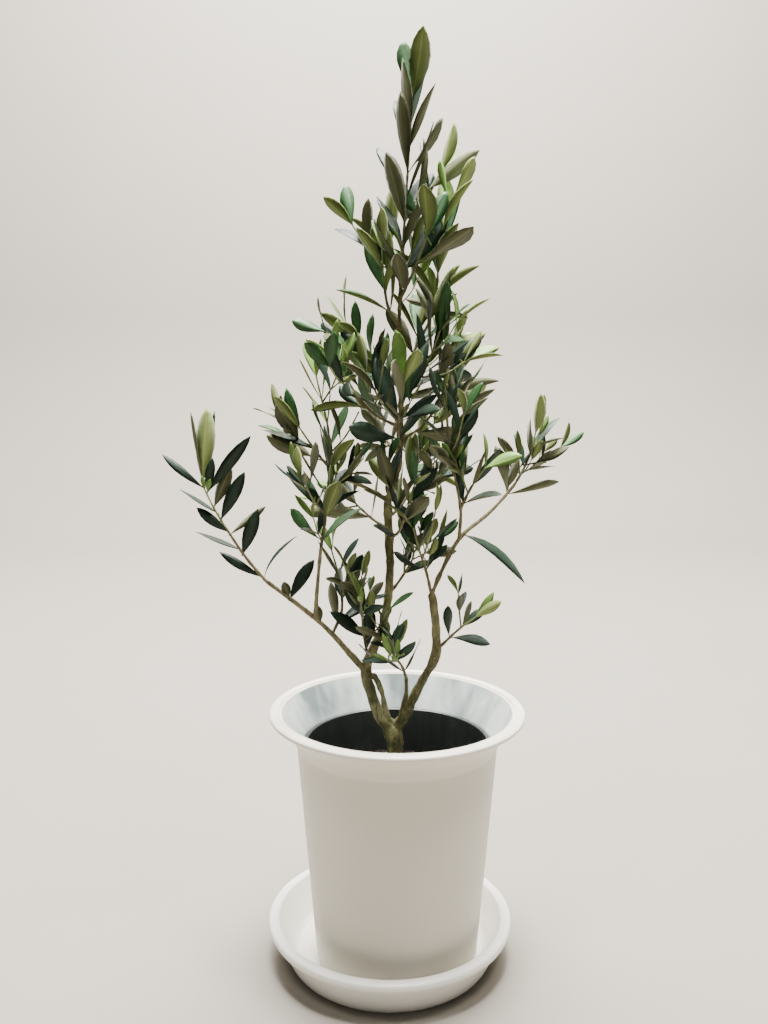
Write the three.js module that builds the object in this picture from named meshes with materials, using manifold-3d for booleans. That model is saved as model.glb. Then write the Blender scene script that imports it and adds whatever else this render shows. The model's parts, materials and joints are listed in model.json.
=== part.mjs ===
// A young potted olive tree: a forked trunk, its boughs and leafy shoots, in a nursery pot
// inside a white cover pot that stands on a saucer.
// Millimetres, +Z up. The origin is on the floor under the pots' axis. +X is right, -Y is the front.
import * as THREE from "three";
import { mergeVertices } from "three/addons/utils/BufferGeometryUtils.js";
import Module from "manifold-3d";

const wasm = await Module();
wasm.setup();

// Driving dimensions

const CLEAR = 0.3; // gap kept between neighbouring pieces
const SAUCER = {
  centre: [-4.7, 4.7], // the pots stand a little off its middle
  base: 70.6,
  foot: 1.4,
  floorRadius: 66,
  floor: 3,
  rimOuter: 84.5,
  rimInner: 77.2,
  rimHeight: 29,
  rollHeight: 6,
};
const COVER_POT = {
  stands: SAUCER.floor + CLEAR,
  footRadius: 55.7,
  bodyRadius: 67.8,
  bodyTop: 156,
  wall: 3,
  floor: 3,
  rimOuter: 86,
  rimInner: 78.9,
  rimTop: 178.6,
  lip: 3.6,
};
const NURSERY_POT = {
  stands: COVER_POT.stands + COVER_POT.floor + CLEAR,
  footRadius: 46,
  rimRadius: 62.4,
  rimTop: 155.6,
  wall: 1.4,
  floor: 2,
  bead: 0.9, // how far the rim's bead stands out
  beadHeight: 7,
};
const SOIL_TOP = 127; // height of the potting soil's surface
const ROUND = 40; // facets round the cover pot and the saucer
const ROUND_INSIDE = 30; // facets round the nursery pot and the soil

// The trunk's middle line, from the soil through the fork and up through the foliage.
const TRUNK = {
  points: [
    [-1, 0, SOIL_TOP + CLEAR],
    [-1, 0, SOIL_TOP + 6],
    [-1, 0, 147],
    [-1.5, 0, 157],
    [-5, 0, 165],
    [-10.5, 0, 171],
    [-14, 0, 178],
    [-17.5, 0, 189],
    [-20.5, 0, 200],
    [-20, 1, 210],
    [-15, 2, 221],
    [-8, 4, 240],
    [-5, 5, 279],
    [-6, 2, 320],
    [1, 0, 345],
    [2, 2, 392],
    [1, 2, 442],
    [2, 0, 457],
  ],
  // Height and radius: root flare, swollen fork, a burl where the low bough leaves, even taper.
  radii: [
    [127, 7],
    [133, 5.4],
    [147, 5.7],
    [153, 6.5],
    [160, 7.6],
    [165, 6.4],
    [171, 5.2],
    [180, 4.2],
    [198, 4.3],
    [204, 4.5],
    [212, 3.7],
    [230, 3.5],
    [310, 3.3],
    [345, 2.7],
    [400, 2.1],
    [457, 1.6],
  ],
};

// Boughs: name, the limb it grows on, the height where it leaves it, its radii at even steps from
// foot to tip, and the points that it passes.
const BOUGHS = [
  ["right_limb", "trunk", 161, [4.8, 3.9, 3.3, 3.7, 3, 3.2], [5, -1, 173], [10, -2, 184],
    [17, -3, 199], [25, -4, 214], [26, -4, 228], [24, -4, 251], [22, -4, 259]],
  ["fork_limb", "trunk", 160, [2.7, 2, 1.9, 2.3], [-5.5, -2.5, 172], [-8.6, -3.5, 181],
    [-9.8, -4, 189], [-12.7, -3.5, 197], [-17, -2, 203]],
  ["foot_bough", "trunk", 161, [3, 2.8, 2.2, 1.5], [3, -4, 175], [5, -7, 185], [6, -9, 194],
    [6, -10, 202]],
  ["right_outer_bough", "right_limb", 257, [1.9, 1.6, 1.3], [31, -2, 277], [42, 2, 295], [61, 9, 310],
    [72, 12, 321]],
  ["right_upright_bough", "right_outer_bough", 293, [1.4, 1.1], [41, -6, 315], [36, -12, 339]],
  ["left_low_bough", "trunk", 203, [2, 1.5, 1.2], [-30, -3, 215], [-43, -6, 231], [-58, -9, 246],
    [-86, -13, 269]],
  ["left_upright_bough", "left_low_bough", 241, [1.3, 1], [-53, -12, 255], [-51, -18, 275],
    [-49, -20, 293]],
  ["left_middle_bough", "trunk", 318, [1.4, 1], [-14, -1, 325], [-28, -4, 332], [-41, -8, 339]],
];

// Masses of foliage, each one leafy shoot with its side twigs: name, the limb it grows on, the
// height there, the length of its leaves, the bare stretch at its foot, its side twigs, the turn
// from one pair of leaves to the next in degrees, and the points that it passes. A small turn
// gives a flat spray, as on the boughs that lean out.
const SHOOTS = [
  ["leader_shoot", "trunk", 457, 49, 8, 1, 90, [4, -2, 495], [6, -1, 527], [9, 1, 571]],
  ["top_front_shoot", "trunk", 448, 45, 8, 0, 90, [10, -12, 466], [17, -22, 484]],
  ["top_right_shoot", "trunk", 399, 41, 26, 2, 90, [11, 6, 417], [24, 12, 446], [27, 8, 484], [33, 6, 509]],
  ["top_left_shoot", "trunk", 428, 33, 12, 1, 90, [-6, -4, 443], [-9, -10, 460], [-10, -13, 478]],
  ["top_back_shoot", "trunk", 438, 42, 10, 1, 90, [2, 14, 456], [-4, 22, 488]],
  ["upper_left_shoot", "trunk", 392, 35, 10, 2, 90, [-17, 8, 410], [-29, 12, 425], [-34, 14, 435]],
  ["upper_right_shoot", "trunk", 383, 37, 10, 2, 90, [16, -6, 402], [26, -15, 428]],
  ["upper_back_shoot", "trunk", 378, 40, 12, 1, 90, [8, 22, 398], [14, 38, 430]],
  ["front_shoot", "trunk", 352, 44, 12, 1, 90, [0, -18, 367], [3, -42, 396]],
  ["middle_left_shoot", "trunk", 364, 38, 12, 2, 90, [-19, -14, 380], [-38, -28, 408]],
  ["middle_right_shoot", "trunk", 357, 40, 12, 2, 90, [20, 12, 372], [42, 24, 409]],
  ["middle_back_shoot", "trunk", 348, 38, 14, 1, 90, [-12, 26, 366], [-22, 44, 402]],
  ["lower_back_shoot", "trunk", 304, 36, 14, 2, 90, [6, 26, 318], [16, 48, 350]],
  ["left_back_shoot", "trunk", 300, 34, 16, 1, 90, [-17, 12, 306], [-36, 26, 322]],
  ["lower_front_shoot", "trunk", 290, 34, 14, 1, 90, [2, -16, 304], [10, -36, 334]],
  ["trunk_side_shoot", "trunk", 252, 30, 18, 1, 90, [3, 10, 266], [11, 14, 280], [9, 17, 296]],
  ["inner_right_shoot", "right_limb", 257, 32, 18, 1, 90, [19, -8, 273], [14, -14, 289], [10, -18, 304]],
  ["right_tip_shoot", "right_outer_bough", 321, 34, 2, 1, 25, [80, 14, 331], [89, 15, 349], [92, 15, 363]],
  ["right_upright_shoot", "right_upright_bough", 339, 36, 2, 2, 90, [32, -15, 362], [30, -17, 392]],
  ["right_cluster_shoot", "right_upright_bough", 315, 32, 4, 1, 90, [47, -14, 330], [55, -20, 343]],
  ["right_side_shoot", "right_limb", 219, 25, 14, 1, 60, [39, -12, 235], [51, -17, 246]],
  ["foot_shoot", "foot_bough", 202, 28, 5, 3, 90, [3, -12, 211], [-2, -16, 220], [-3, -19, 231]],
  ["left_tip_shoot", "left_low_bough", 269, 41, 2, 0, 20, [-99, -15, 286], [-115, -18, 313],
    [-124, -19, 332]],
  ["left_upright_shoot", "left_upright_bough", 293, 36, 3, 4, 90, [-46, -20, 313], [-43, -20, 359],
    [-51, -20, 400]],
  ["left_inner_shoot", "left_low_bough", 231, 32, 8, 1, 90, [-37, 2, 246], [-39, 8, 266], [-44, 11, 284]],
  ["left_foot_shoot", "trunk", 212, 30, 10, 2, 90, [-22, -14, 232], [-24, -22, 258]],
  ["left_middle_shoot", "left_middle_bough", 339, 36, 3, 2, 90, [-51, -12, 351], [-62, -18, 368]],
];

// The rule of growth

const GROWTH = {
  seed: 1907,
  seedStep: 101, // from one mass to the next
  spacing: 15.5, // between pairs of leaves
  openAngle: 54, // degrees between an old leaf and its stem
  closeAngle: 24, // the same for a young one near the tip
  strayLean: 24, // how much that angle varies
  strayTurn: 0.7, // radians that a leaf may stray round its stem
  flatTurn: 60, // below this turn in degrees a spray is laid flat
  roll: 1.3, // radians that a blade may roll about its length
  lift: 0.4, // how much a leaf that leans out is turned up again
  leafLengths: [0.86, 1.14],
  leafWidth: 0.34, // of its length
  leafWidths: [0.88, 1.12],
  leafThickness: 0.9,
  widest: 0.55, // where a leaf is widest, as a part of its length
  petiole: 0.5, // how far past the stem's middle a leaf is rooted
  youngLeaf: 0.8, // length of the last leaves, as a part of the full length
  fullGrown: 0.4, // age at which a leaf has its full length
  stemFoot: 1.15, // radius of a shoot's stem where it starts
  stemTip: 0.55,
  twigFoot: 0.66, // radius of a side twig where it starts
  twigTip: 0.5,
  twigLength: 30, // on a shoot whose leaves have the usual length
  usualLeaf: 36,
  twigLengths: [0.75, 1.25],
  twigAngle: 48, // degrees between a side twig and its shoot
  twigStray: 16,
  twigBare: 10,
  twigPlaces: [0.35, 0.75], // where in its own stretch of the shoot a twig grows
  twigTop: 0.4, // stretch left free at the shoot's tip, in such stretches
  twigLeaf: 0.82, // length of a side twig's leaves, as a part of its shoot's
  reach: 1.5, // how far from its stem a leaf may end, in leaf lengths
};
const SPREAD = 0.6; // how much a leaf that is tested is thickened all round
const SHORTEST_EDGE = 0.01; // shorter edges are closed up after a join or a cut

// Colours of the plain solids
const WHITE_PLASTIC = { color: "#e9e6de", roughness: 0.45, metalness: 0 };
const BLACK_PLASTIC = { color: "#1b211f", roughness: 0.5, metalness: 0 };
const SOIL = { color: "#241c15", roughness: 0.95, metalness: 0 };
const BARK = { color: "#85764f", roughness: 0.85, metalness: 0 };
const FOLIAGE = { color: "#46593f", roughness: 0.55, metalness: 0 };

// Numbers in a repeatable order that looks random, from 0 to 1.
function randomFrom(seed) {
  let state = seed >>> 0;
  return () => {
    state = (state + 0x6d2b79f5) >>> 0;
    let mixed = state;
    mixed = Math.imul(mixed ^ (mixed >>> 15), mixed | 1);
    mixed ^= mixed + Math.imul(mixed ^ (mixed >>> 7), mixed | 61);
    return ((mixed ^ (mixed >>> 14)) >>> 0) / 4294967296;
  };
}

// A closed three.js geometry as a solid, with its faces turned outwards.
function solidOf(geometry) {
  const bare = geometry.clone();
  bare.deleteAttribute("normal");
  bare.deleteAttribute("uv");
  const merged = mergeVertices(bare, 1e-4);
  const index = merged.index.array;
  const faces = [];
  for (let i = 0; i < index.length; i += 3) {
    const [a, b, c] = [index[i], index[i + 1], index[i + 2]];
    if (a !== b && b !== c && c !== a) faces.push(a, b, c);
  }
  const made = (triangles) =>
    new wasm.Manifold(
      new wasm.Mesh({
        numProp: 3,
        vertProperties: new Float32Array(merged.attributes.position.array),
        triVerts: new Uint32Array(triangles),
      }),
    );
  const solid = made(faces);
  return solid.volume() > 0 ? solid : made(faces.toReversed());
}

function geometryOf(solid) {
  const mesh = solid.getMesh();
  const positions = new Float32Array(mesh.numVert * 3);
  for (let i = 0; i < mesh.numVert; i++) {
    positions.set(mesh.vertProperties.subarray(i * mesh.numProp, i * mesh.numProp + 3), i * 3);
  }
  const geometry = new THREE.BufferGeometry();
  geometry.setAttribute("position", new THREE.BufferAttribute(positions, 3));
  geometry.setIndex(new THREE.BufferAttribute(mesh.triVerts, 1));
  geometry.computeVertexNormals();
  return geometry;
}

// The largest body of a solid, without the hair-thin faces that joins and cuts leave. Loose
// scraps and sealed hollows are left behind.
function largestBody(solid) {
  const bodies = solid.simplify(SHORTEST_EDGE).decompose();
  return bodies.reduce((best, body) => (body.volume() > best.volume() ? body : best));
}

function joined(solids) {
  return largestBody(wasm.Manifold.union(solids));
}

// A shape turned round the Z axis from pairs of radius and height.
function turned(profile, facets) {
  const points = profile.map(([radius, height]) => new THREE.Vector2(radius, height));
  return new THREE.LatheGeometry(points, facets).rotateX(Math.PI / 2);
}

// Pots and soil

function saucerGeometry() {
  const s = SAUCER;
  const roll = s.rimHeight - s.rollHeight;
  return turned(
    [
      [0, 0],
      [s.base - s.foot, 0],
      [s.base, s.foot],
      [s.rimOuter - 4, roll],
      [s.rimOuter - 0.5, roll],
      [s.rimOuter, roll + 2],
      [s.rimOuter - 1, s.rimHeight - 1],
      [s.rimOuter - 3.5, s.rimHeight],
      [s.rimInner + 1, s.rimHeight],
      [s.rimInner, s.rimHeight - 1.5],
      [s.floorRadius + 1.5, s.floor + 3],
      [s.floorRadius - 2, s.floor],
      [0, s.floor],
    ],
    ROUND,
  );
}

function coverPotGeometry() {
  const p = COVER_POT;
  const height = (z) => z - p.stands;
  const lipFoot = height(p.rimTop - p.lip);
  const top = height(p.rimTop);
  return turned(
    [
      [0, 0],
      [p.footRadius - 1.5, 0],
      [p.footRadius, 1.5],
      [p.bodyRadius, height(p.bodyTop)],
      [p.rimInner + 2.3, lipFoot - 1],
      [p.rimOuter - 1, lipFoot],
      [p.rimOuter, lipFoot + 1],
      [p.rimOuter - 0.4, top - 0.8],
      [p.rimOuter - 1.6, top],
      [p.rimInner, top],
      [p.rimInner - 1.3, lipFoot + 1],
      [p.bodyRadius - p.wall, height(p.bodyTop)],
      [p.footRadius - p.wall + 0.3, p.floor],
      [0, p.floor],
    ],
    ROUND,
  );
}

function nurseryPotGeometry() {
  const p = NURSERY_POT;
  const height = p.rimTop - p.stands;
  const bead = height - p.beadHeight;
  return turned(
    [
      [0, 0],
      [p.footRadius, 0],
      [p.rimRadius - p.bead, bead],
      [p.rimRadius, bead + 0.5],
      [p.rimRadius, height],
      [p.rimRadius - p.wall, height],
      [p.footRadius - p.wall, p.floor],
      [0, p.floor],
    ],
    ROUND_INSIDE,
  );
}

// The soil fills the nursery pot up to a few fingers under its rim, with a low mound in the middle.
function soilGeometry() {
  const p = NURSERY_POT;
  const height = SOIL_TOP - p.stands - p.floor - CLEAR;
  const wallHeight = p.rimTop - p.stands - p.floor;
  const wallAt = (z) => p.footRadius - p.wall + ((p.rimRadius - p.footRadius) * z) / wallHeight;
  return turned(
    [
      [0, 0],
      [wallAt(CLEAR) - 1, 0],
      [wallAt(height) - 1, height - 2],
      [26, height],
      [0, height],
    ],
    ROUND_INSIDE,
  );
}

// Limbs

// A smooth line through points, with lengths along it and a frame that doesn't twist.
class Line {
  constructor(points) {
    const curve = new THREE.CatmullRomCurve3(
      points.map((p) => new THREE.Vector3(...p)),
      false,
      "catmullrom",
      0.5,
    );
    this.samples = curve.getPoints((points.length - 1) * 12);
    this.lengths = [0];
    for (let i = 1; i < this.samples.length; i++) {
      this.lengths.push(this.lengths[i - 1] + this.samples[i].distanceTo(this.samples[i - 1]));
    }
    this.length = this.lengths.at(-1);
    this.tangents = this.samples.map((_, i) => {
      const before = this.samples[Math.max(i - 1, 0)];
      const after = this.samples[Math.min(i + 1, this.samples.length - 1)];
      return after.clone().sub(before).normalize();
    });
    let side = new THREE.Vector3(1, 0, 0);
    this.sides = this.tangents.map((tangent) => {
      side = side.clone().addScaledVector(tangent, -side.dot(tangent)).normalize();
      return side;
    });
  }

  // The place, tangent and side of the line at a length from its start.
  at(length) {
    const wanted = Math.min(Math.max(length, 0), this.length);
    let i = this.lengths.findIndex((reached) => reached >= wanted);
    i = Math.max(i, 1);
    const span = this.lengths[i] - this.lengths[i - 1];
    const part = (wanted - this.lengths[i - 1]) / span;
    const mix = (list) => list[i - 1].clone().lerp(list[i], part);
    const tangent = mix(this.tangents).normalize();
    const side = mix(this.sides);
    side.addScaledVector(tangent, -side.dot(tangent)).normalize();
    return { place: mix(this.samples), tangent, side };
  }

  // The length at which the line first reaches a height.
  lengthAtHeight(z) {
    const i = this.samples.findIndex((sample) => sample.z >= z - 1e-6);
    return i < 0 ? this.length : this.lengths[i];
  }
}

// A closed cylinder laid along a line, with its radius given at each length. grow makes it
// thicker and longer by that much, which is the room that it keeps free.
function limbSolid(line, radiusAt, { sides, steps, grow = 0 }) {
  const geometry = new THREE.CylinderGeometry(1, 1, 1, sides, steps);
  const position = geometry.attributes.position;
  for (let i = 0; i < position.count; i++) {
    const along = (position.getY(i) + 0.5) * line.length;
    const { place, tangent, side } = line.at(along);
    const across = tangent.clone().cross(side);
    const radius = radiusAt(along) + grow;
    const end = along >= line.length - 1e-6 ? grow : 0;
    place
      .addScaledVector(side, radius * position.getX(i))
      .addScaledVector(across, -radius * position.getZ(i))
      .addScaledVector(tangent, end);
    position.setXYZ(i, place.x, place.y, place.z);
  }
  return solidOf(geometry);
}

function trunkRadius(height) {
  const rows = TRUNK.radii;
  const above = rows.findIndex(([z]) => z >= height);
  if (above < 0) return rows.at(-1)[1];
  if (above === 0) return rows[0][1];
  const [[z0, r0], [z1, r1]] = [rows[above - 1], rows[above]];
  return r0 + ((r1 - r0) * (height - z0)) / (z1 - z0);
}

// The radius at a length along a line, from radii at even steps.
const taper = (line, radii) => (along) => {
  const step = Math.min(along / line.length, 1) * (radii.length - 1);
  const i = Math.min(Math.floor(step), radii.length - 2);
  return radii[i] + (radii[i + 1] - radii[i]) * (step - i);
};

// Each limb keeps its line, its solid and the room that it keeps free.
const limbs = new Map();

function growTrunk() {
  const line = new Line(TRUNK.points);
  const radiusAt = (along) => trunkRadius(line.at(along).place.z);
  const shape = { sides: 8, steps: 34 };
  limbs.set("trunk", {
    line,
    solid: limbSolid(line, radiusAt, shape),
    room: limbSolid(line, radiusAt, { ...shape, grow: CLEAR }),
  });
}

function startOn(limb, height) {
  return limb.line.at(limb.line.lengthAtHeight(height)).place.toArray();
}

function growLimb(name, on, at, points, radii, sides, spacing) {
  const line = new Line([startOn(limbs.get(on), at), ...points]);
  const shape = { sides, steps: Math.max(3, Math.round(line.length / spacing)) };
  const radiusAt = taper(line, radii);
  let solid = limbSolid(line, radiusAt, shape);
  for (const other of limbs.values()) solid = solid.subtract(other.room);
  limbs.set(name, {
    line,
    solid: largestBody(solid),
    room: limbSolid(line, radiusAt, { ...shape, grow: CLEAR }),
  });
}

// Leaves

// A thin closed blade of eight faces, from its root along +Y to its tip, upper side to +Z.
function leafSolid(leaf, spread = 0) {
  const { root, along, up, length, width } = leaf;
  const across = along.clone().cross(up);
  const middle = (length + spread) / 2;
  const shape = new THREE.OctahedronGeometry(1);
  const position = shape.attributes.position;
  const shift = (2 * GROWTH.widest - 1) * middle;
  for (let i = 0; i < position.count; i++) {
    const [x, y, z] = [position.getX(i), position.getY(i), position.getZ(i)];
    const onAxis = Math.abs(y) > 0.5;
    const place = root
      .clone()
      .addScaledVector(along, middle + y * middle + (onAxis ? 0 : shift))
      .addScaledVector(across, x * (width / 2 + spread))
      .addScaledVector(up, z * (GROWTH.leafThickness / 2 + spread));
    position.setXYZ(i, place.x, place.y, place.z);
  }
  return solidOf(shape);
}

const around = (random, range) => (random() - 0.5) * range;
const within = (random, [low, high]) => low + (high - low) * random();

// A direction that leans away from a tangent by an angle, towards a turn round it.
function leaning(tangent, side, turn, lean) {
  const across = tangent.clone().cross(side);
  return tangent
    .clone()
    .multiplyScalar(Math.cos(lean))
    .addScaledVector(side, Math.cos(turn) * Math.sin(lean))
    .addScaledVector(across, Math.sin(turn) * Math.sin(lean));
}

// One pair of opposite leaves at a length along a stem. turn is the angle of the pair round the
// stem, and age is 1 for the oldest leaves and 0 for those at the tip.
function leafPair(line, along, turn, age, leafLength, random) {
  const { place, tangent, side } = line.at(along);
  return [0, Math.PI].map((half) => {
    const strayed = turn + half + around(random, GROWTH.strayTurn);
    const opened = GROWTH.closeAngle + (GROWTH.openAngle - GROWTH.closeAngle) * age;
    const lean = THREE.MathUtils.degToRad(opened + around(random, GROWTH.strayLean));
    const grown = GROWTH.youngLeaf + (1 - GROWTH.youngLeaf) * Math.min(1, age / GROWTH.fullGrown);
    const length = leafLength * grown * within(random, GROWTH.leafLengths);
    const width = length * GROWTH.leafWidth * within(random, GROWTH.leafWidths);
    const direction = leaning(tangent, side, strayed, lean);
    direction.z += GROWTH.lift * Math.sin(lean);
    direction.normalize();
    const up = tangent.clone().addScaledVector(direction, -tangent.dot(direction)).normalize();
    up.applyAxisAngle(direction, around(random, GROWTH.roll));
    const root = place.clone().addScaledVector(direction, -GROWTH.petiole);
    return { root, along: direction, up, length, width };
  });
}

// The pairs of leaves along a stem and the pair that ends it. turned is the angle from one pair
// to the next, in degrees.
function leavesAlong(line, bare, leafLength, turned, random) {
  const leaves = [];
  const nodes = Math.max(0, Math.round((line.length - bare) / GROWTH.spacing));
  const spacing = nodes > 0 ? (line.length - bare) / nodes : 0;
  const flat = turned < GROWTH.flatTurn;
  let turn = flat ? around(random, GROWTH.strayTurn) : random() * Math.PI;
  for (let node = 0; node <= nodes; node++) {
    const along = Math.min(bare + node * spacing, line.length - 0.8);
    const age = nodes > 0 ? 1 - node / nodes : 0;
    leaves.push(...leafPair(line, along, turn, age, leafLength, random));
    turn += THREE.MathUtils.degToRad(turned);
  }
  return leaves;
}

// The side twigs of a shoot: each leaves the stem between two pairs and turns upwards.
function sideTwigs({ leaf, bare, twigs }, line, random) {
  const grown = [];
  for (let i = 0; i < twigs; i++) {
    const part = (i + within(random, GROWTH.twigPlaces)) / (twigs + GROWTH.twigTop);
    const { place, tangent, side } = line.at(bare + part * (line.length - bare));
    const turn = random() * 2 * Math.PI;
    const lean = THREE.MathUtils.degToRad(GROWTH.twigAngle + around(random, GROWTH.twigStray));
    const usual = (GROWTH.twigLength * leaf) / GROWTH.usualLeaf;
    const length = usual * within(random, GROWTH.twigLengths);
    const direction = leaning(tangent, side, turn, lean);
    const middle = place.clone().addScaledVector(direction, length * 0.5);
    const tip = place.clone().addScaledVector(direction, length * 0.92);
    tip.z += length * 0.2;
    const twig = new Line([place, middle, tip].map((p) => p.toArray()));
    const leaves = leavesAlong(twig, GROWTH.twigBare, leaf * GROWTH.twigLeaf, 90, random);
    grown.push({ line: twig, leaves });
  }
  return grown;
}

// True if a leaf's tip and middle stay within the shoot's reach of its stem.
function staysIn(leaf, line, reach) {
  return [0.5, 1].every((part) => {
    const point = leaf.root.clone().addScaledVector(leaf.along, leaf.length * part);
    return line.samples.some((sample) => sample.distanceTo(point) < reach);
  });
}

const touches = (solid, others) => solid.intersect(others).numTri() > 0;

// One mass of foliage. A twig or leaf that would meet another piece or leave its space is skipped.
function growMass(shoot, others, number) {
  const random = randomFrom(GROWTH.seed + number * GROWTH.seedStep);
  const { line, solid } = limbs.get(shoot.name);
  const own = [solid];
  const reach = GROWTH.reach * shoot.leaf;
  const addLeaves = (leaves) => {
    for (const leaf of leaves) {
      if (!staysIn(leaf, line, reach) || touches(leafSolid(leaf, SPREAD), others)) continue;
      own.push(leafSolid(leaf));
    }
  };
  addLeaves(leavesAlong(line, shoot.bare, shoot.leaf, shoot.turn, random));
  for (const twig of sideTwigs(shoot, line, random)) {
    const radiusAt = taper(twig.line, [GROWTH.twigFoot, GROWTH.twigTip]);
    if (touches(limbSolid(twig.line, radiusAt, { sides: 3, steps: 3, grow: SPREAD }), others)) continue;
    own.push(limbSolid(twig.line, radiusAt, { sides: 3, steps: 3 }));
    addLeaves(twig.leaves);
  }
  return joined(own);
}

// The whole object

const root = new THREE.Group();
root.name = "potted_olive_tree";

function addMesh(name, geometry, look, position = [0, 0, 0]) {
  const mesh = new THREE.Mesh(geometry, new THREE.MeshStandardMaterial(look));
  mesh.name = name;
  mesh.position.set(...position);
  root.add(mesh);
}

addMesh("saucer", saucerGeometry(), WHITE_PLASTIC, [...SAUCER.centre, 0]);
addMesh("cover_pot", coverPotGeometry(), WHITE_PLASTIC, [0, 0, COVER_POT.stands]);
addMesh("nursery_pot", nurseryPotGeometry(), BLACK_PLASTIC, [0, 0, NURSERY_POT.stands]);
addMesh("potting_soil", soilGeometry(), SOIL, [0, 0, NURSERY_POT.stands + NURSERY_POT.floor + CLEAR]);

growTrunk();
for (const [name, on, at, radii, ...points] of BOUGHS) growLimb(name, on, at, points, radii, 6, 9);
const shoots = SHOOTS.map(([name, on, at, leaf, bare, twigs, turn, ...points]) => {
  growLimb(name, on, at, points, [GROWTH.stemFoot, GROWTH.stemTip], 3, 16);
  return { name, leaf, bare, twigs, turn };
});

const isShoot = new Set(shoots.map((shoot) => shoot.name));
for (const [name, limb] of limbs) {
  if (!isShoot.has(name)) addMesh(name, geometryOf(limb.solid), BARK);
}

// The cover pot as a solid in place, so that no leaf runs into it.
const potRoom = solidOf(coverPotGeometry()).translate([0, 0, COVER_POT.stands]);
const done = new Map();
shoots.forEach((shoot, number) => {
  const others = [potRoom];
  for (const [name, limb] of limbs) {
    if (name !== shoot.name && !done.has(name)) others.push(limb.solid);
  }
  done.set(shoot.name, growMass(shoot, wasm.Manifold.union([...others, ...done.values()]), number));
});
for (const [name, solid] of done) addMesh(name, geometryOf(solid), FOLIAGE);

export default root;
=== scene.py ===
# A young potted olive tree, dressed for rendering: bark, shoots, leaves, soil, pots and saucer.
# Lengths in the growth rule are millimetres, as in the part's own source; meshes are in metres.
import json
import math

import bpy
from bpy.props import FloatProperty, FloatVectorProperty, IntProperty, PointerProperty
from mathutils import Matrix, Vector, noise
from mathutils.bvhtree import BVHTree

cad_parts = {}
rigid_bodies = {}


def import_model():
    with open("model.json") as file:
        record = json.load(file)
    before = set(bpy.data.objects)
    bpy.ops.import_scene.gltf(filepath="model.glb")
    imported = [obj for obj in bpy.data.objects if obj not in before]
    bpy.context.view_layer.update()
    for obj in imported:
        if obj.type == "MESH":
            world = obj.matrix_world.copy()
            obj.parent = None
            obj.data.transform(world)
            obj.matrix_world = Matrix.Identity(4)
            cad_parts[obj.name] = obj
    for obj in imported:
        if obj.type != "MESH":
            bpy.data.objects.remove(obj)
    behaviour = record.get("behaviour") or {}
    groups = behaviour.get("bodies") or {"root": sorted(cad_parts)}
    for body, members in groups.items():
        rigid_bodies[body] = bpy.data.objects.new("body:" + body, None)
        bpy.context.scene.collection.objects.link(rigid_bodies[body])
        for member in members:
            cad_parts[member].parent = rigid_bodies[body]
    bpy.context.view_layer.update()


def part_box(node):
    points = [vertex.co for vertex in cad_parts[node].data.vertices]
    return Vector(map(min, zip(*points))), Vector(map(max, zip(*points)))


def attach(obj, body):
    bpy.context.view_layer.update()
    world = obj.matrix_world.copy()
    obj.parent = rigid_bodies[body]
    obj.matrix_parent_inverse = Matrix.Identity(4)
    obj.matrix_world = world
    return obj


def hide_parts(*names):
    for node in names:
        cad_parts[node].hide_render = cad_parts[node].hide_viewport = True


bl_info = {
    "name": "Potted Olive Tree",
    "version": (1, 0, 0),
    "blender": (4, 5, 0),
    "location": "3D View > Sidebar > Olive Tree",
    "description": "Builds the visible pieces of a young olive tree in its pots",
    "category": "Add Mesh",
}

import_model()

MM = 0.001
BODY = "root"  # the one body, on which every piece rides


# Colours

def linear(hex_colour):
    """An sRGB hex colour as linear red, green and blue."""
    channels = [int(hex_colour[i : i + 2], 16) / 255 for i in (1, 3, 5)]
    return tuple(c / 12.92 if c <= 0.04045 else ((c + 0.055) / 1.055) ** 2.4 for c in channels)


def shade(colour, factor):
    return tuple(min(1.0, c * factor) for c in colour)


# Settings

def colour_of(name, description, hex_colour):
    """A colour that a user may change."""
    return FloatVectorProperty(
        name=name,
        description=description,
        subtype="COLOR",
        min=0,
        max=1,
        default=linear(hex_colour),
    )


def length_of(name, description, default):
    """A length in metres that a user may change."""
    return FloatProperty(name=name, description=description, default=default, unit="LENGTH")


class PotSettings(bpy.types.PropertyGroup):
    """Sizes and colours of the saucer and the two pots."""

    facets: IntProperty(
        name="Facets", description="Faces round each turned piece", default=160, min=24
    )
    groove_width: length_of(
        "Groove width", "Width of the groove along the inner edge of the cover pot's rim", 1.5 * MM
    )
    white: colour_of("Cover pot", "Colour of the cover pot's white plastic", "#E6E1D4")
    saucer_white: colour_of("Saucer", "Colour of the saucer's white plastic", "#F3F1EA")
    black: colour_of("Black plastic", "Colour of the nursery pot", "#1A1F1D")


class SoilSettings(bpy.types.PropertyGroup):
    """The potting soil's crumbs and colours."""

    crumb_size: length_of("Crumb size", "Size of a middling crumb", 2.2 * MM)
    crumb_density: FloatProperty(
        name="Crumbs", description="Crumbs to a square metre of soil", default=170000.0
    )
    perlite_density: FloatProperty(
        name="Perlite", description="White grains to a square metre of soil", default=7000.0
    )
    seed: IntProperty(name="Seed", description="Chooses where the crumbs fall", default=7)
    dark: colour_of("Peat", "Colour of damp peat", "#1E1812")
    light: colour_of("Bark fines", "Colour of the dry bark in the soil", "#4A3A2A")


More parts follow.
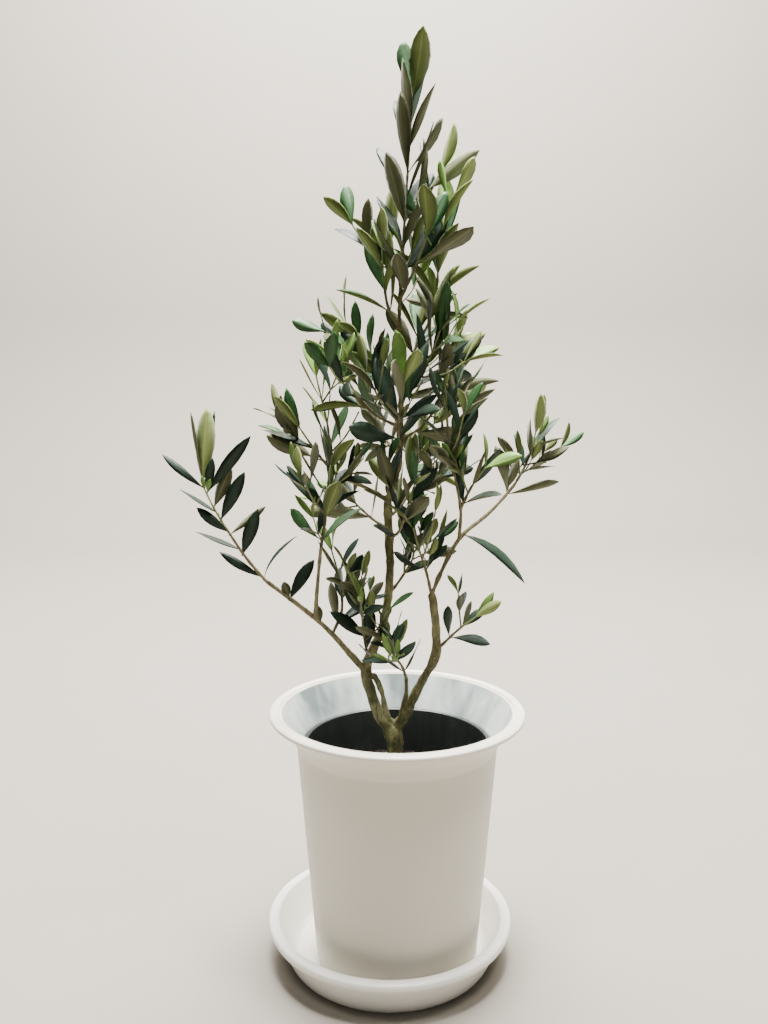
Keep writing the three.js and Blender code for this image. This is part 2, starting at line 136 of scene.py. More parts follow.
class BarkSettings(bpy.types.PropertyGroup):
    """The relief and colours of the trunk and boughs."""

    thickness: FloatProperty(
        name="Thickness",
        description="Thickness of the trunk and right-hand limbs, as a part of the solid model's",
        default=0.87,
        min=0.5,
        max=1.2,
    )
    left_thickness: FloatProperty(
        name="Left thickness",
        description="The same for the boughs on the left",
        default=1.18,
        min=0.5,
        max=1.2,
    )
    voxel: length_of("Voxel", "Grain of the mesh that joins the limbs", 0.5 * MM)
    relief: length_of("Relief", "Depth of the fissures", 0.45 * MM)
    knots: length_of("Knots", "Height of the knots and swellings", 1.8 * MM)
    main: colour_of("Bark", "Colour of the smooth bark", "#63603A")
    pale: colour_of("Pale bark", "Colour of the lichen-grey patches", "#9A966A")
    # The paler bough colour is partly smoother young bark and partly painted light on boughs that
    # stand out in the light.
    bough: colour_of("Bough bark", "Colour of the smoother bark on the thin boughs", "#81775A")
    dark: colour_of("Fissures", "Colour of the cracks and the foot of the trunk", "#36351F")


class FoliageSettings(bpy.types.PropertyGroup):
    """How full the crown is, and how wide its leaves are."""

    narrowing: FloatProperty(
        name="Leaf width",
        description="Width of a leaf, as a part of the solid model's leaf",
        default=0.78,
        min=0.3,
        max=1.2,
    )
    fine_growth: FloatProperty(
        name="Fine growth",
        description="Share of the leaf pairs that bear a small side shoot",
        default=0.24,
        min=0,
        max=1,
    )
    stem_sides: IntProperty(name="Stem sides", description="Faces round a stem", default=8, min=3)
    seed: IntProperty(
        name="Seed", description="Chooses the tints and the fine growth", default=4711
    )


class StageSettings(bpy.types.PropertyGroup):
    """The floor and the camera."""

    floor: colour_of("Floor", "Colour of the floor and the cove", "#88837A")
    lens: FloatProperty(
        name="Lens", description="Focal length on a 36 mm sensor, in millimetres", default=32.8
    )
    camera_place: FloatVectorProperty(
        name="Camera place",
        description="Where the camera stands",
        subtype="TRANSLATION",
        unit="LENGTH",
        default=(-0.00883, -0.6075, 0.3963),
    )
    camera_tilt: FloatProperty(
        name="Camera tilt",
        description="How far the camera looks down",
        subtype="ANGLE",
        default=0.1378,
    )


class OliveSettings(bpy.types.PropertyGroup):
    """All the settings of the potted olive tree."""

    pots: PointerProperty(type=PotSettings)
    soil: PointerProperty(type=SoilSettings)
    bark: PointerProperty(type=BarkSettings)
    foliage: PointerProperty(type=FoliageSettings)
    stage: PointerProperty(type=StageSettings)


# Nodes and materials

def add_node(tree, kind, inputs=None, output=0, stops=(), **settings):
    """Adds a node with its settings and returns one of its outputs. An input is a value, or
    another node's output to link. Stops are the positions and linear colours of a ramp."""
    node = tree.nodes.new(kind)
    for name, value in settings.items():
        setattr(node, name, value)
    for socket, value in (inputs or {}).items():
        if isinstance(value, bpy.types.NodeSocket):
            tree.links.new(value, node.inputs[socket])
        else:
            node.inputs[socket].default_value = value
    if stops:
        elements = node.color_ramp.elements
        while len(elements) < len(stops):
            elements.new(0.5)
        for element, (position, colour) in zip(elements, stops):
            element.position = position
            element.color = (*colour, 1.0)
    return node.outputs[output]


class Finish:
    """A material whose colour, roughness and relief follow noise patterns on Object coordinates.
    Its colour is a pattern and the stops of a ramp, its roughness a pattern and two values, and
    its relief a pattern and a real depth in metres. A pattern is the size of its largest lumps in
    metres, its detail, its roughness and its stretch, which draws lumps out where it is under 1.
    Constants are set on the shader's own sockets."""

    def __init__(self, name, colour, rough=None, relief=None, **constants):
        self.material = bpy.data.materials.new(name)
        self.material.use_nodes = True
        tree = self.tree = self.material.node_tree
        self.shader = tree.nodes["Principled BSDF"]
        for socket, value in constants.items():
            self.shader.inputs[socket.replace("_", " ")].default_value = value
        self.place = add_node(tree, "ShaderNodeTexCoord", output="Object")
        self.noise = {}
        for pattern in dict.fromkeys(part[0] for part in (colour, rough, relief) if part):
            size, detail, roughness, stretch = pattern
            values = {"Scale": 1 / size, "Detail": detail, "Roughness": roughness}
            values["Vector"] = add_node(tree, "ShaderNodeMapping", {0: self.place, 3: stretch})
            self.noise[pattern] = add_node(tree, "ShaderNodeTexNoise", values)
        self.colour = add_node(
            tree, "ShaderNodeValToRGB", {0: self.noise[colour[0]]}, stops=colour[1]
        )
        self.link("Base Color", self.colour)
        if rough:
            values = {0: self.noise[rough[0]], 3: rough[1], 4: rough[2]}
            self.link("Roughness", add_node(tree, "ShaderNodeMapRange", values))
        if relief:
            values = {"Strength": 1.0, "Distance": relief[1], "Height": self.noise[relief[0]]}
            self.link("Normal", add_node(tree, "ShaderNodeBump", values))

    def link(self, socket, source):
        self.tree.links.new(source, self.shader.inputs[socket])


EVEN = (1.0, 1.0, 1.0)
STREAKED = (1.0, 1.0, 0.12)  # stretch that turns noise into upright streaks


def satin_white(colour):
    """Injection-moulded polypropylene with a fine satin texture, as on the cover pot: a soft,
    broad highlight and a faint mottle where the plastic flowed."""
    mottle = (60 * MM, 3.0, 0.55, (1.0, 1.0, 0.35))
    grain = (1.1 * MM, 2.0, 0.55, EVEN)
    return Finish(
        "satin white polypropylene",
        (mottle, [(0.3, shade(colour, 0.955)), (0.7, colour)]),
        (mottle, 0.36, 0.46),
        (grain, 0.03 * MM),
        IOR=1.49,
        Subsurface_Weight=0.06,
        Subsurface_Scale=2 * MM,
    ).material


def shaded_inner_white():
    """The inside of the cover pot: the same polypropylene from the smoother mould core, glossier,
    with its colour a cool grey that is painted shade inside the pot. Soft upright streaks vary its
    gloss and relief and darken the grey in painted streaks of shade."""
    streaks = (30 * MM, 3.0, 0.5, STREAKED)
    # Cool greys far darker than the outside's white: painted shade inside the pot, darkest in
    # painted streaks of shade.
    colours = [(0.36, linear("#7E8A89")), (0.47, linear("#B5BEBB")), (0.6, linear("#DBE2DF"))]
    rough, relief = (streaks, 0.2, 0.34), (streaks, 0.9 * MM)
    return Finish("inner polypropylene with painted shade", (streaks, colours), rough, relief, IOR=1.49).material


def gloss_white(colour):
    """Injection-moulded polypropylene with a polished mould face, as on the saucer: clear soft
    reflections and fine scuffs."""
    mottle = (50 * MM, 3.0, 0.55, EVEN)
    scuffs = (4 * MM, 3.0, 0.7, (1.0, 6.0, 1.0))
    return Finish(
        "gloss white polypropylene",
        (mottle, [(0.3, shade(colour, 0.97)), (0.7, shade(colour, 1.06))]),
        (scuffs, 0.16, 0.32),
        (mottle, 0.2 * MM),
        IOR=1.49,
        Subsurface_Weight=0.06,
        Subsurface_Scale=2 * MM,
    ).material


def black_polyethylene(colour):
    """Thin blow-moulded polyethylene of a nursery pot: dark and smooth, with soft upright streaks
    and a bloom of dried soil."""
    dust = (12 * MM, 5.0, 0.65, EVEN)
    streaks = (7 * MM, 3.0, 0.55, STREAKED)
    colours = [(0.45, colour), (0.62, shade(colour, 1.35)), (0.78, linear("#3B3A33"))]
    rough, relief = (streaks, 0.24, 0.5), (streaks, 0.4 * MM)
    return Finish("black nursery polyethylene", (dust, colours), rough, relief, IOR=1.51).material


def peat(dark, light):
    """Damp peat with bark fines: nearly black, matt, with brown flecks."""
    lumps = (3 * MM, 5.0, 0.7, EVEN)
    colours = [(0.38, shade(dark, 0.7)), (0.55, dark), (0.75, light)]
    rough, relief = (lumps, 0.8, 0.97), (lumps, 0.8 * MM)
    return Finish(
        "peat potting soil", (lumps, colours), rough, relief, Specular_IOR_Level=0.3
    ).material


def perlite():
    """Expanded perlite grains: chalk white, matt and pitted, with a film of peat."""
    pits = (1.5 * MM, 4.0, 0.7, EVEN)
    colours = [(0.3, linear("#6E6557")), (0.5, linear("#CFC9BC"))]
    return Finish(
        "expanded perlite", (pits, colours), relief=(pits, 0.4 * MM), Roughness=0.95
    ).material


# Distances from the plant's axis between which the bark turns into that of the thin boughs:
# smoother, and paler, the paleness partly painted light.
BOUGH_START = 8 * MM
BOUGH_END = 40 * MM
# Heights between which the damp foot of the trunk dries.
DAMP_UP_TO = 128 * MM
DRY_FROM = 150 * MM
SPECK = 2.2 * MM  # from one corky speck to the next


def olive_bark(settings):
    """Young olive bark: smooth olive brown with lichen-grey patches, fine upright cracks and corky
    specks, smoother and paler on the thin boughs, the paleness partly painted light where they
    stand out in the light, and darker where the trunk meets the damp soil."""
    patches = (14 * MM, 4.0, 0.6, (1.0, 1.0, 0.6))
    cracks = (1.6 * MM, 5.0, 0.65, (1.0, 1.0, 0.22))
    bark = [(0.36, shade(settings.main, 0.66)), (0.48, settings.main), (0.6, settings.pale)]
    rough, relief = (cracks, 0.92, 0.66), (cracks, 0.6 * MM)
    finish = Finish("young olive bark", (patches, bark), rough, relief, Specular_IOR_Level=0.35)
    tree, place = finish.tree, finish.place
    level = add_node(tree, "ShaderNodeMapping", {0: place, 3: (1.0, 1.0, 0.0)})
    outwards = add_node(tree, "ShaderNodeVectorMath", {0: level}, output=1, operation="LENGTH")
    height = add_node(tree, "ShaderNodeSeparateXYZ", {0: place}, output=2)
    specks = add_node(tree, "ShaderNodeTexVoronoi", {"Vector": place, "Scale": 1 / SPECK})
    in_cracks = [(0.32, (0.85, 0.85, 0.85)), (0.5, (0.0, 0.0, 0.0))]
    on_specks = [(0.1, (0.65, 0.65, 0.65)), (0.2, (0.0, 0.0, 0.0))]
    # Out on the boughs the colour turns paler: partly smoother young bark, partly painted light.
    lit_bough_paling = {0: outwards, 1: BOUGH_START, 2: BOUGH_END, 3: 0.0, 4: 0.7}
    where_damp = {0: height, 1: DAMP_UP_TO, 2: DRY_FROM, 3: 0.8, 4: 0.0}
    colour = finish.colour
    for kind, values, stops, other in (
        ("ShaderNodeMapRange", lit_bough_paling, (), settings.bough),
        ("ShaderNodeValToRGB", {0: finish.noise[cracks]}, in_cracks, settings.dark),
        ("ShaderNodeValToRGB", {0: specks}, on_specks, linear("#A8A07A")),
        ("ShaderNodeMapRange", where_damp, (), settings.dark),
    ):
        layer = {0: add_node(tree, kind, values, stops=stops), 6: colour, 7: (*other, 1.0)}
        colour = add_node(tree, "ShaderNodeMix", layer, output=2, data_type="RGBA")
    finish.link("Base Color", colour)
    return finish.material


def shoot_bark(name, low, high, rough):
    """The skin of a shoot, from ribbed grey-brown where it is woody to a waxy green when young."""
    tone = (14 * MM, 3.0, 0.55, EVEN)
    ribs = (1.2 * MM, 3.0, 0.55, (1.0, 1.0, 0.25))
    colours = [(0.35, low), (0.65, high)]
    roughness, relief = (ribs, rough - 0.08, rough + 0.1), (ribs, 0.15 * MM)
    return Finish(name, (tone, colours), roughness, relief, IOR=1.45).material


def leaf_skin(name, colour, rough, gloss, sheen, mottle):
    """The skin of a leaf. The upper side is leathery with a waxy gloss, and the underside is
    covered in fine silvery scales that scatter the light."""
    tone = (16 * MM, 4.0, 0.6, EVEN)
    pores = (0.9 * MM, 2.0, 0.55, EVEN)
    low, high = shade(colour, 1 - mottle), shade(colour, 1 + 1.6 * mottle)
    return Finish(
        name,
        (tone, [(0.34, low), (0.5, colour), (0.68, high)]),
        (tone, rough + 0.07, rough - 0.07),
        (pores, 0.06 * MM),
        IOR=1.38,
        Sheen_Weight=sheen,
        Sheen_Roughness=0.45,
        Specular_IOR_Level=gloss,
    ).material


# Mesh helpers

def new_object(name, vertices, faces, edges=()):
    mesh = bpy.data.meshes.new(name)
    mesh.from_pydata([tuple(v) for v in vertices], list(edges), faces)
    mesh.update()
    made = bpy.data.objects.new(name, mesh)
    bpy.context.scene.collection.objects.link(made)
    return made


def add_attribute(made, name, kind, domain, values, key="value"):
    attribute = made.data.attributes.new(name, kind, domain)
    attribute.data.foreach_set(key, values)


MOST_CUT = 0.48  # of an edge, for the fillet at each of its ends


def rounded(corners, steps=5):
    """An outline through corners of radius, height and fillet, with each fillet as an arc."""
    outline = []
    for i, (radius, height, fillet) in enumerate(corners):
        here = Vector((radius, height))
        if not fillet:
            outline.append(here)
            continue
        before = Vector(corners[i - 1][:2]) - here
        after = Vector(corners[i + 1][:2]) - here
        half = before.angle(after) / 2
        cut = min(fillet / math.tan(half), MOST_CUT * before.length, MOST_CUT * after.length)
        reach = cut * math.tan(half)
        middle = (before.normalized() + after.normalized()).normalized()
        centre = here + middle * (reach / math.sin(half))
        start = here + before.normalized() * cut - centre
        end = here + after.normalized() * cut - centre
        for step in range(steps + 1):
            outline.append(centre + start.lerp(end, step / steps).normalized() * reach)
    return outline


def turned(name, outline, facets, centre=(0.0, 0.0)):
    """A closed shape turned round an upright axis from points of radius and height."""
    vertices, rows = [], []
    for radius, height in outline:
        count = facets if radius else 1
        rows.append(range(len(vertices), len(vertices) + count))
        for k in range(count):
            angle = 2 * math.pi * k / facets
            x = centre[0] + radius * math.cos(angle)
            y = centre[1] + radius * math.sin(angle)
            vertices.append((x, y, height))
    faces = []
    for lower, upper in zip(rows, rows[1:]):
        for k in range(facets):
            ring = [
                lower[k % len(lower)],
                lower[(k + 1) % len(lower)],
                upper[(k + 1) % len(upper)],
                upper[k % len(upper)],
            ]
            faces.append(list(dict.fromkeys(ring)))
    made = new_object(name, vertices, faces)
    smooth(made)
    return made


def smooth(made, sharp_angle=math.radians(40)):
    made.data.shade_smooth()
    made.data.set_sharp_from_angle(angle=sharp_angle)


def discard(made):
    mesh = made.data
    bpy.data.objects.remove(made)
    bpy.data.meshes.remove(mesh)


def dress(made, material, slot, *nodes):
    """Gives a finished piece its material and its place in the frame."""
    if material:
        made.data.materials.clear()
        made.data.materials.append(material)
    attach(made, BODY)
    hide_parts(*nodes)


# Geometry Nodes helpers

class NodeGroup:
    """A Geometry Nodes tree under construction. Its inputs are given by name and kind."""

    def __init__(self, name, inputs):
        self.tree = bpy.data.node_groups.new(name, "GeometryNodeTree")
        new_socket = self.tree.interface.new_socket
        new_socket("Geometry", in_out="INPUT", socket_type="NodeSocketGeometry")
        new_socket("Geometry", in_out="OUTPUT", socket_type="NodeSocketGeometry")
        self.identifiers = {}
        for title, kind in inputs.items():
            socket = new_socket(title, in_out="INPUT", socket_type="NodeSocket" + kind)
            self.identifiers[title] = socket.identifier
        self.given = self.tree.nodes.new("NodeGroupInput").outputs

    def node(self, kind, inputs=None, **settings):
        return add_node(self.tree, kind, inputs, **settings)

    def end(self, geometry):
        """Closes the tree with realized instances that carry its one material."""
        real = self.node("GeometryNodeRealizeInstances", {0: geometry})
        values = {0: real, "Material": self.given["Material"]}
        self.finish(self.node("GeometryNodeSetMaterial", values))

    def finish(self, geometry):
        self.tree.links.new(geometry, self.tree.nodes.new("NodeGroupOutput").inputs[0])

    def apply(self, source, name, **values):
        """Runs the tree on an object and returns the result as a new plain object."""
        modifier = source.modifiers.new(self.tree.name, "NODES")
        modifier.node_group = self.tree
        for title, value in values.items():
            modifier[self.identifiers[title]] = value
        graph = bpy.context.evaluated_depsgraph_get()
        mesh = bpy.data.meshes.new_from_object(source.evaluated_get(graph))
        source.modifiers.remove(modifier)
        mesh.name = name
        made = bpy.data.objects.new(name, mesh)
        bpy.context.scene.collection.objects.link(made)
        return made


# Pots

def in_metres(corners):
    return [tuple(MM * value for value in corner) for corner in corners]


def saucer_outline(rim_outer, rim_top):
    """Corners of the saucer: radius, height and fillet in millimetres."""
    roll = rim_top - 6
    return [
        (0, 0.6, 0),
        (60, 0.6, 0.5),
        (61, 0, 0.4),
        (69.4, 0, 0.6),
        (70.8, 1.6, 1.2),
        (rim_outer - 3.8, roll - 0.2, 0.8),
        (rim_outer - 0.8, roll - 0.2, 0.6),
        (rim_outer, roll + 2, 2),
        (rim_outer - 0.3, rim_top - 0.6, 2.4),
        (rim_outer - 3.2, rim_top, 2.4),
        (77.4, rim_top - 0.3, 2),
        (67.6, 6, 3),
        (64.6, 3.3, 2),
        (56, 3.0, 0.6),
        (55.4, 3.5, 0.4),
        (54.2, 3.5, 0.4),
        (53.6, 3.0, 0.4),
        (0, 3.0, 0),
    ]


def cover_pot_outline(stands, rim_outer, rim_top, groove):
    """Corners of the cover pot. Its rim has a flat band with a groove at the inner edge."""
    groove_depth = 1.0
    band_inner = rim_outer - 6.6
    return [
        (0, stands + 1, 0),
        (50, stands + 1, 0.4),
        (51, stands, 0.5),
        (54.6, stands, 1),
        (55.8, stands + 2, 2),
        (67.8, 155, 8),
        (71.9, 164.6, 16),
        (80.4, 173.4, 5),
        (84.8, 174.8, 0.9),
        (rim_outer, 176, 0.9),
        (rim_outer - 0.2, rim_top - 0.9, 1.2),
        (rim_outer - 1.7, rim_top, 1.2),
        (band_inner, rim_top - 0.15, 0.3),
        (band_inner - 0.15, rim_top - groove_depth, 0.2),
        (band_inner - groove, rim_top - groove_depth, 0.2),
        (band_inner - groove - 0.15, rim_top - 0.45, 0.3),
        (77.2, rim_top - 1.2, 1.0),
        (64.8, 154.5, 6),
        (53.2, 9, 3),
        (50, 6.6, 2),
        (0, 6.6, 0),
    ]


def nursery_pot_outline(stands, rim_outer, rim_top):
    """Corners of the thin nursery pot with its bead."""
    bead = rim_top - 7
    return [
        (0, stands, 0),
        (46, stands, 1.5),
        (rim_outer - 1, bead, 0.3),
        (rim_outer, bead + 0.6, 0.3),
        (rim_outer, rim_top - 0.3, 0.4),
        (rim_outer - 0.7, rim_top, 0.5),
        (rim_outer - 1.4, rim_top - 0.4, 0.4),
        (44.6, stands + 2, 1.5),
        (0, stands + 2, 0),
    ]


class OLIVE_OT_saucer(bpy.types.Operator):
    """Turn the saucer with its rolled rim and foot ring"""

    bl_idname = "olive.saucer"
    bl_label = "Saucer"

    def execute(self, context):
        settings = context.scene.olive_tree.pots
        low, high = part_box("saucer")
        centre = ((low.x + high.x) / 2, (low.y + high.y) / 2)
        corners = saucer_outline((high.x - low.x) / 2 / MM, high.z / MM)
        made = turned("white_saucer", rounded(in_metres(corners)), settings.facets, centre)
        dress(made, gloss_white(settings.saucer_white), "saucer_plastic", "saucer")
        return {"FINISHED"}


class OLIVE_OT_cover_pot(bpy.types.Operator):
    """Turn the white cover pot with its flared and grooved rim"""

    bl_idname = "olive.cover_pot"
    bl_label = "Cover Pot"

    INSIDE_TOP = 177.2 * MM  # height up to which the inside has its own finish, whose colour is painted shade

    def execute(self, context):
        settings = context.scene.olive_tree.pots
        low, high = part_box("cover_pot")
        groove = settings.groove_width / MM
        corners = cover_pot_outline(low.z / MM, high.x / MM, high.z / MM, groove)
        made = turned("white_cover_pot", rounded(in_metres(corners)), settings.facets)
        dress(made, satin_white(settings.white), "pot_plastic", "cover_pot")
        # The inside takes a copy of the plastic whose darker, cooler colour is painted shade.
        made.data.materials.append(shaded_inner_white())
        for face in made.data.polygons:
            if face.center.z < self.INSIDE_TOP and face.normal.xy.dot(face.center.xy) < 0:
                face.material_index = 1
        return {"FINISHED"}


class OLIVE_OT_nursery_pot(bpy.types.Operator):
    """Turn the thin black nursery pot inside the cover pot"""

    bl_idname = "olive.nursery_pot"
    bl_label = "Nursery Pot"

    def execute(self, context):
        settings = context.scene.olive_tree.pots
        low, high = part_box("nursery_pot")
        corners = nursery_pot_outline(low.z / MM, high.y / MM, high.z / MM)
        made = turned("black_nursery_pot", rounded(in_metres(corners)), settings.facets)
        dress(made, black_polyethylene(settings.black), "nursery_plastic", "nursery_pot")
        return {"FINISHED"}


# Soil

# The stretch of a crumb along each axis, and its turn in radians, lie between these.
CRUMB_STRETCH = ((0.4, 0.35, 0.3), (1.7, 1.1, 0.9))
CRUMB_TURN = ((0, 0, 0), (6.28, 6.28, 6.28))


def crumb_tree():
    """Scatters crumbs of one size over a surface, each turned and stretched at random."""
    kinds = {"Density": "Float", "Size": "Float", "Seed": "Int", "Material": "Material"}
    group = NodeGroup("Soil crumbs", kinds)
    given = group.given
    scatter = {"Mesh": given["Geometry"], "Density": given["Density"], "Seed": given["Seed"]}
    turn, stretch = [
        group.node(
            "FunctionNodeRandomValue",
            {0: least, 1: most, "Seed": given["Seed"]},
            data_type="FLOAT_VECTOR",
        )
        for least, most in (CRUMB_TURN, CRUMB_STRETCH)
    ]
    placed = {
        "Points": group.node("GeometryNodeDistributePointsOnFaces", scatter),
        "Instance": group.node("GeometryNodeMeshIcoSphere", {"Radius": 0.5, "Subdivisions": 1}),
        "Rotation": turn,
        "Scale": group.node(
            "ShaderNodeVectorMath", {0: stretch, "Scale": given["Size"]}, operation="SCALE"
        ),
    }
    group.end(group.node("GeometryNodeInstanceOnPoints", placed))
    return group


class OLIVE_OT_potting_soil(bpy.types.Operator):
    """Model the soil's surface and strew it with crumbs and perlite"""

    bl_idname = "olive.potting_soil"
    bl_label = "Potting Soil"

    FOOT = 44.2 * MM  # radius of the soil where it stands on the pot's floor
    EDGE = 57.9 * MM  # where the soil meets the nursery pot's wall
    EDGE_DROP = 3 * MM
    RINGS = 46
    FACETS = 140
    LUMPS = ((170, 1.1), (420, 0.66))  # how many to a metre, and their height in millimetres
    MOUND = 1.6  # millimetres that the surface falls from its middle to its edge
    SUNK = 0.4  # and how far all of it has settled
    SURFACE_DEPTH = 4 * MM  # depth down to which the faces bear crumbs
    BARE_EDGE = 0.8 * MM  # stretch at the edge without crumbs
    PERLITE_SIZE = 1.1  # of a crumb's size

    def execute(self, context):
        settings = context.scene.olive_tree.soil
        low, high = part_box("potting_soil")
        material = peat(settings.dark, settings.light)
        rings = [self.EDGE * (1 - ring / self.RINGS) for ring in range(self.RINGS + 1)]
        outline = [(0, low.z), (self.FOOT, low.z), (self.EDGE, high.z - self.EDGE_DROP)]
        soil = turned("peat_soil", outline + [(ring, high.z) for ring in rings], self.FACETS)
        for vertex in soil.data.vertices:
            if vertex.co.z > high.z - 0.1 * MM:
                reach = vertex.co.xy.length / self.EDGE
                lumps = sum(size * noise.noise(vertex.co * many) for many, size in self.LUMPS)
                vertex.co.z += MM * (lumps - self.MOUND * reach**2 - self.SUNK)
        smooth(soil, math.radians(180))
        dress(soil, material, "soil", "potting_soil")
        surface = self.surface_of(soil, high.z - self.SURFACE_DEPTH)
        strewn = crumb_tree()
        size, seed = settings.crumb_size, settings.seed
        pale = perlite()
        for name, density, grain, chosen, coat in (
            ("soil_crumbs", settings.crumb_density, size, seed, material),
            ("perlite_grains", settings.perlite_density, size * self.PERLITE_SIZE, seed + 1, pale),
        ):
            values = {"Density": density, "Size": grain, "Seed": chosen, "Material": coat}
            dress(strewn.apply(surface, name, **values), None, "soil", "potting_soil")
        discard(surface)
        return {"FINISHED"}

    def surface_of(self, soil, floor):
        """The soil's upper faces as an object of their own."""
        mesh = soil.data
        keep = [
            [mesh.vertices[i].co.copy() for i in face.vertices]
            for face in mesh.polygons
            if face.center.z > floor and face.center.xy.length < self.EDGE - self.BARE_EDGE
        ]
        vertices, faces = [], []
        for face in keep:
            faces.append(list(range(len(vertices), len(vertices) + len(face))))
            vertices += face
        return new_object("soil surface", vertices, faces)


# The rule of growth, in millimetres

TRUNK_POINTS = [
    (-1, 0, 116), (-1, 0, 133), (-1, 0, 147), (-1.5, 0, 157), (-5, 0, 165), (-10.5, 0, 171),
    (-14, 0, 178), (-17.5, 0, 189), (-20.5, 0, 200), (-20, 1, 210), (-15, 2, 221), (-8, 4, 240),
    (-5, 5, 279), (-6, 2, 320), (1, 0, 345), (2, 2, 392), (1, 2, 442), (2, 0, 457),
]
# Height and radius: root flare, swollen fork, a burl where the low bough leaves, even taper.
TRUNK_RADII = [
    (116, 10), (124, 8), (130, 6.3), (136, 5.5), (147, 5.7), (153, 6.5), (160, 7.6), (165, 6.4),
    (171, 5.2), (180, 4.2), (198, 4.3), (204, 4.5), (212, 3.7), (230, 3.5), (310, 3.3), (345, 2.7),
    (400, 2.1), (457, 1.6),
]

# Boughs: name, the limb it grows on, the height where it leaves it, its radii at even steps from
# foot to tip, and the points that it passes.
BOUGHS = [
    ("right_limb", "trunk", 161, (4.8, 3.9, 3.3, 3.7, 3, 3.2), (5, -1, 173), (10, -2, 184),
     (17, -3, 199), (25, -4, 214), (26, -4, 228), (24, -4, 251), (22, -4, 259)),
    ("fork_limb", "trunk", 160, (2.7, 2, 1.9, 2.3), (-5.5, -2.5, 172), (-8.6, -3.5, 181),
     (-9.8, -4, 189), (-12.7, -3.5, 197), (-17, -2, 203)),
    ("foot_bough", "trunk", 161, (3, 2.8, 2.2, 1.5), (3, -4, 175), (5, -7, 185), (6, -9, 194),
     (6, -10, 202)),
    ("right_outer_bough", "right_limb", 257, (1.9, 1.6, 1.3), (31, -2, 277), (42, 2, 295),
     (61, 9, 310), (72, 12, 321)),
    ("right_upright_bough", "right_outer_bough", 293, (1.4, 1.1), (41, -6, 315), (36, -12, 339)),
    ("left_low_bough", "trunk", 203, (2, 1.5, 1.2), (-30, -3, 215), (-43, -6, 231),
     (-58, -9, 246), (-86, -13, 269)),
    ("left_upright_bough", "left_low_bough", 241, (1.3, 1), (-53, -12, 255), (-51, -18, 275),
     (-49, -20, 293)),
    ("left_middle_bough", "trunk", 318, (1.4, 1), (-14, -1, 325), (-28, -4, 332), (-41, -8, 339)),
]

# Shoots: name, the limb it grows on, the height there, the length of its leaves, the bare stretch
# at its foot, its side twigs, the turn from one pair of leaves to the next in degrees, and the
# points that it passes. A small turn gives a flat spray, as on the boughs that lean out.
SHOOTS = [
    ("leader_shoot", "trunk", 457, 49, 8, 1, 90, (4, -2, 495), (6, -1, 527), (9, 1, 571)),
    ("top_front_shoot", "trunk", 448, 45, 8, 0, 90, (10, -12, 466), (17, -22, 484)),
    ("top_right_shoot", "trunk", 399, 41, 26, 2, 90, (11, 6, 417), (24, 12, 446), (27, 8, 484),
     (33, 6, 509)),
    ("top_left_shoot", "trunk", 428, 33, 12, 1, 90, (-6, -4, 443), (-9, -10, 460), (-10, -13, 478)),
    ("top_back_shoot", "trunk", 438, 42, 10, 1, 90, (2, 14, 456), (-4, 22, 488)),
    ("upper_left_shoot", "trunk", 392, 35, 10, 2, 90, (-17, 8, 410), (-29, 12, 425),
     (-34, 14, 435)),
    ("upper_right_shoot", "trunk", 383, 37, 10, 2, 90, (16, -6, 402), (26, -15, 428)),
    ("upper_back_shoot", "trunk", 378, 40, 12, 1, 90, (8, 22, 398), (14, 38, 430)),
    ("front_shoot", "trunk", 352, 44, 12, 1, 90, (0, -18, 367), (3, -42, 396)),
    ("middle_left_shoot", "trunk", 364, 38, 12, 2, 90, (-19, -14, 380), (-38, -28, 408)),
    ("middle_right_shoot", "trunk", 357, 40, 12, 2, 90, (20, 12, 372), (42, 24, 409)),
    ("middle_back_shoot", "trunk", 348, 38, 14, 1, 90, (-12, 26, 366), (-22, 44, 402)),
    ("lower_back_shoot", "trunk", 304, 36, 14, 2, 90, (6, 26, 318), (16, 48, 350)),
    ("left_back_shoot", "trunk", 300, 34, 16, 1, 90, (-17, 12, 306), (-36, 26, 322)),
    ("lower_front_shoot", "trunk", 290, 34, 14, 1, 90, (2, -16, 304), (10, -36, 334)),
    ("trunk_side_shoot", "trunk", 252, 30, 18, 1, 90, (3, 10, 266), (11, 14, 280), (9, 17, 296)),
    ("inner_right_shoot", "right_limb", 257, 32, 18, 1, 90, (19, -8, 273), (14, -14, 289),
     (10, -18, 304)),
    ("right_tip_shoot", "right_outer_bough", 321, 34, 2, 1, 25, (80, 14, 331), (89, 15, 349),
     (92, 15, 363)),
    ("right_upright_shoot", "right_upright_bough", 339, 36, 2, 2, 90, (32, -15, 362),
     (30, -17, 392)),
    ("right_cluster_shoot", "right_upright_bough", 315, 32, 4, 1, 90, (47, -14, 330),
     (55, -20, 343)),
    ("right_side_shoot", "right_limb", 219, 25, 14, 1, 60, (39, -12, 235), (51, -17, 246)),
    ("foot_shoot", "foot_bough", 202, 28, 5, 3, 90, (3, -12, 211), (-2, -16, 220), (-3, -19, 231)),
    ("left_tip_shoot", "left_low_bough", 269, 41, 2, 0, 20, (-99, -15, 286), (-115, -18, 313),
     (-124, -19, 332)),
    ("left_upright_shoot", "left_upright_bough", 293, 36, 3, 4, 90, (-46, -20, 313),
     (-43, -20, 359), (-51, -20, 400)),
    ("left_inner_shoot", "left_low_bough", 231, 32, 8, 1, 90, (-37, 2, 246), (-39, 8, 266),
     (-44, 11, 284)),
    ("left_foot_shoot", "trunk", 212, 30, 10, 2, 90, (-22, -14, 232), (-24, -22, 258)),
    ("left_middle_shoot", "left_middle_bough", 339, 36, 3, 2, 90, (-51, -12, 351),
     (-62, -18, 368)),
]

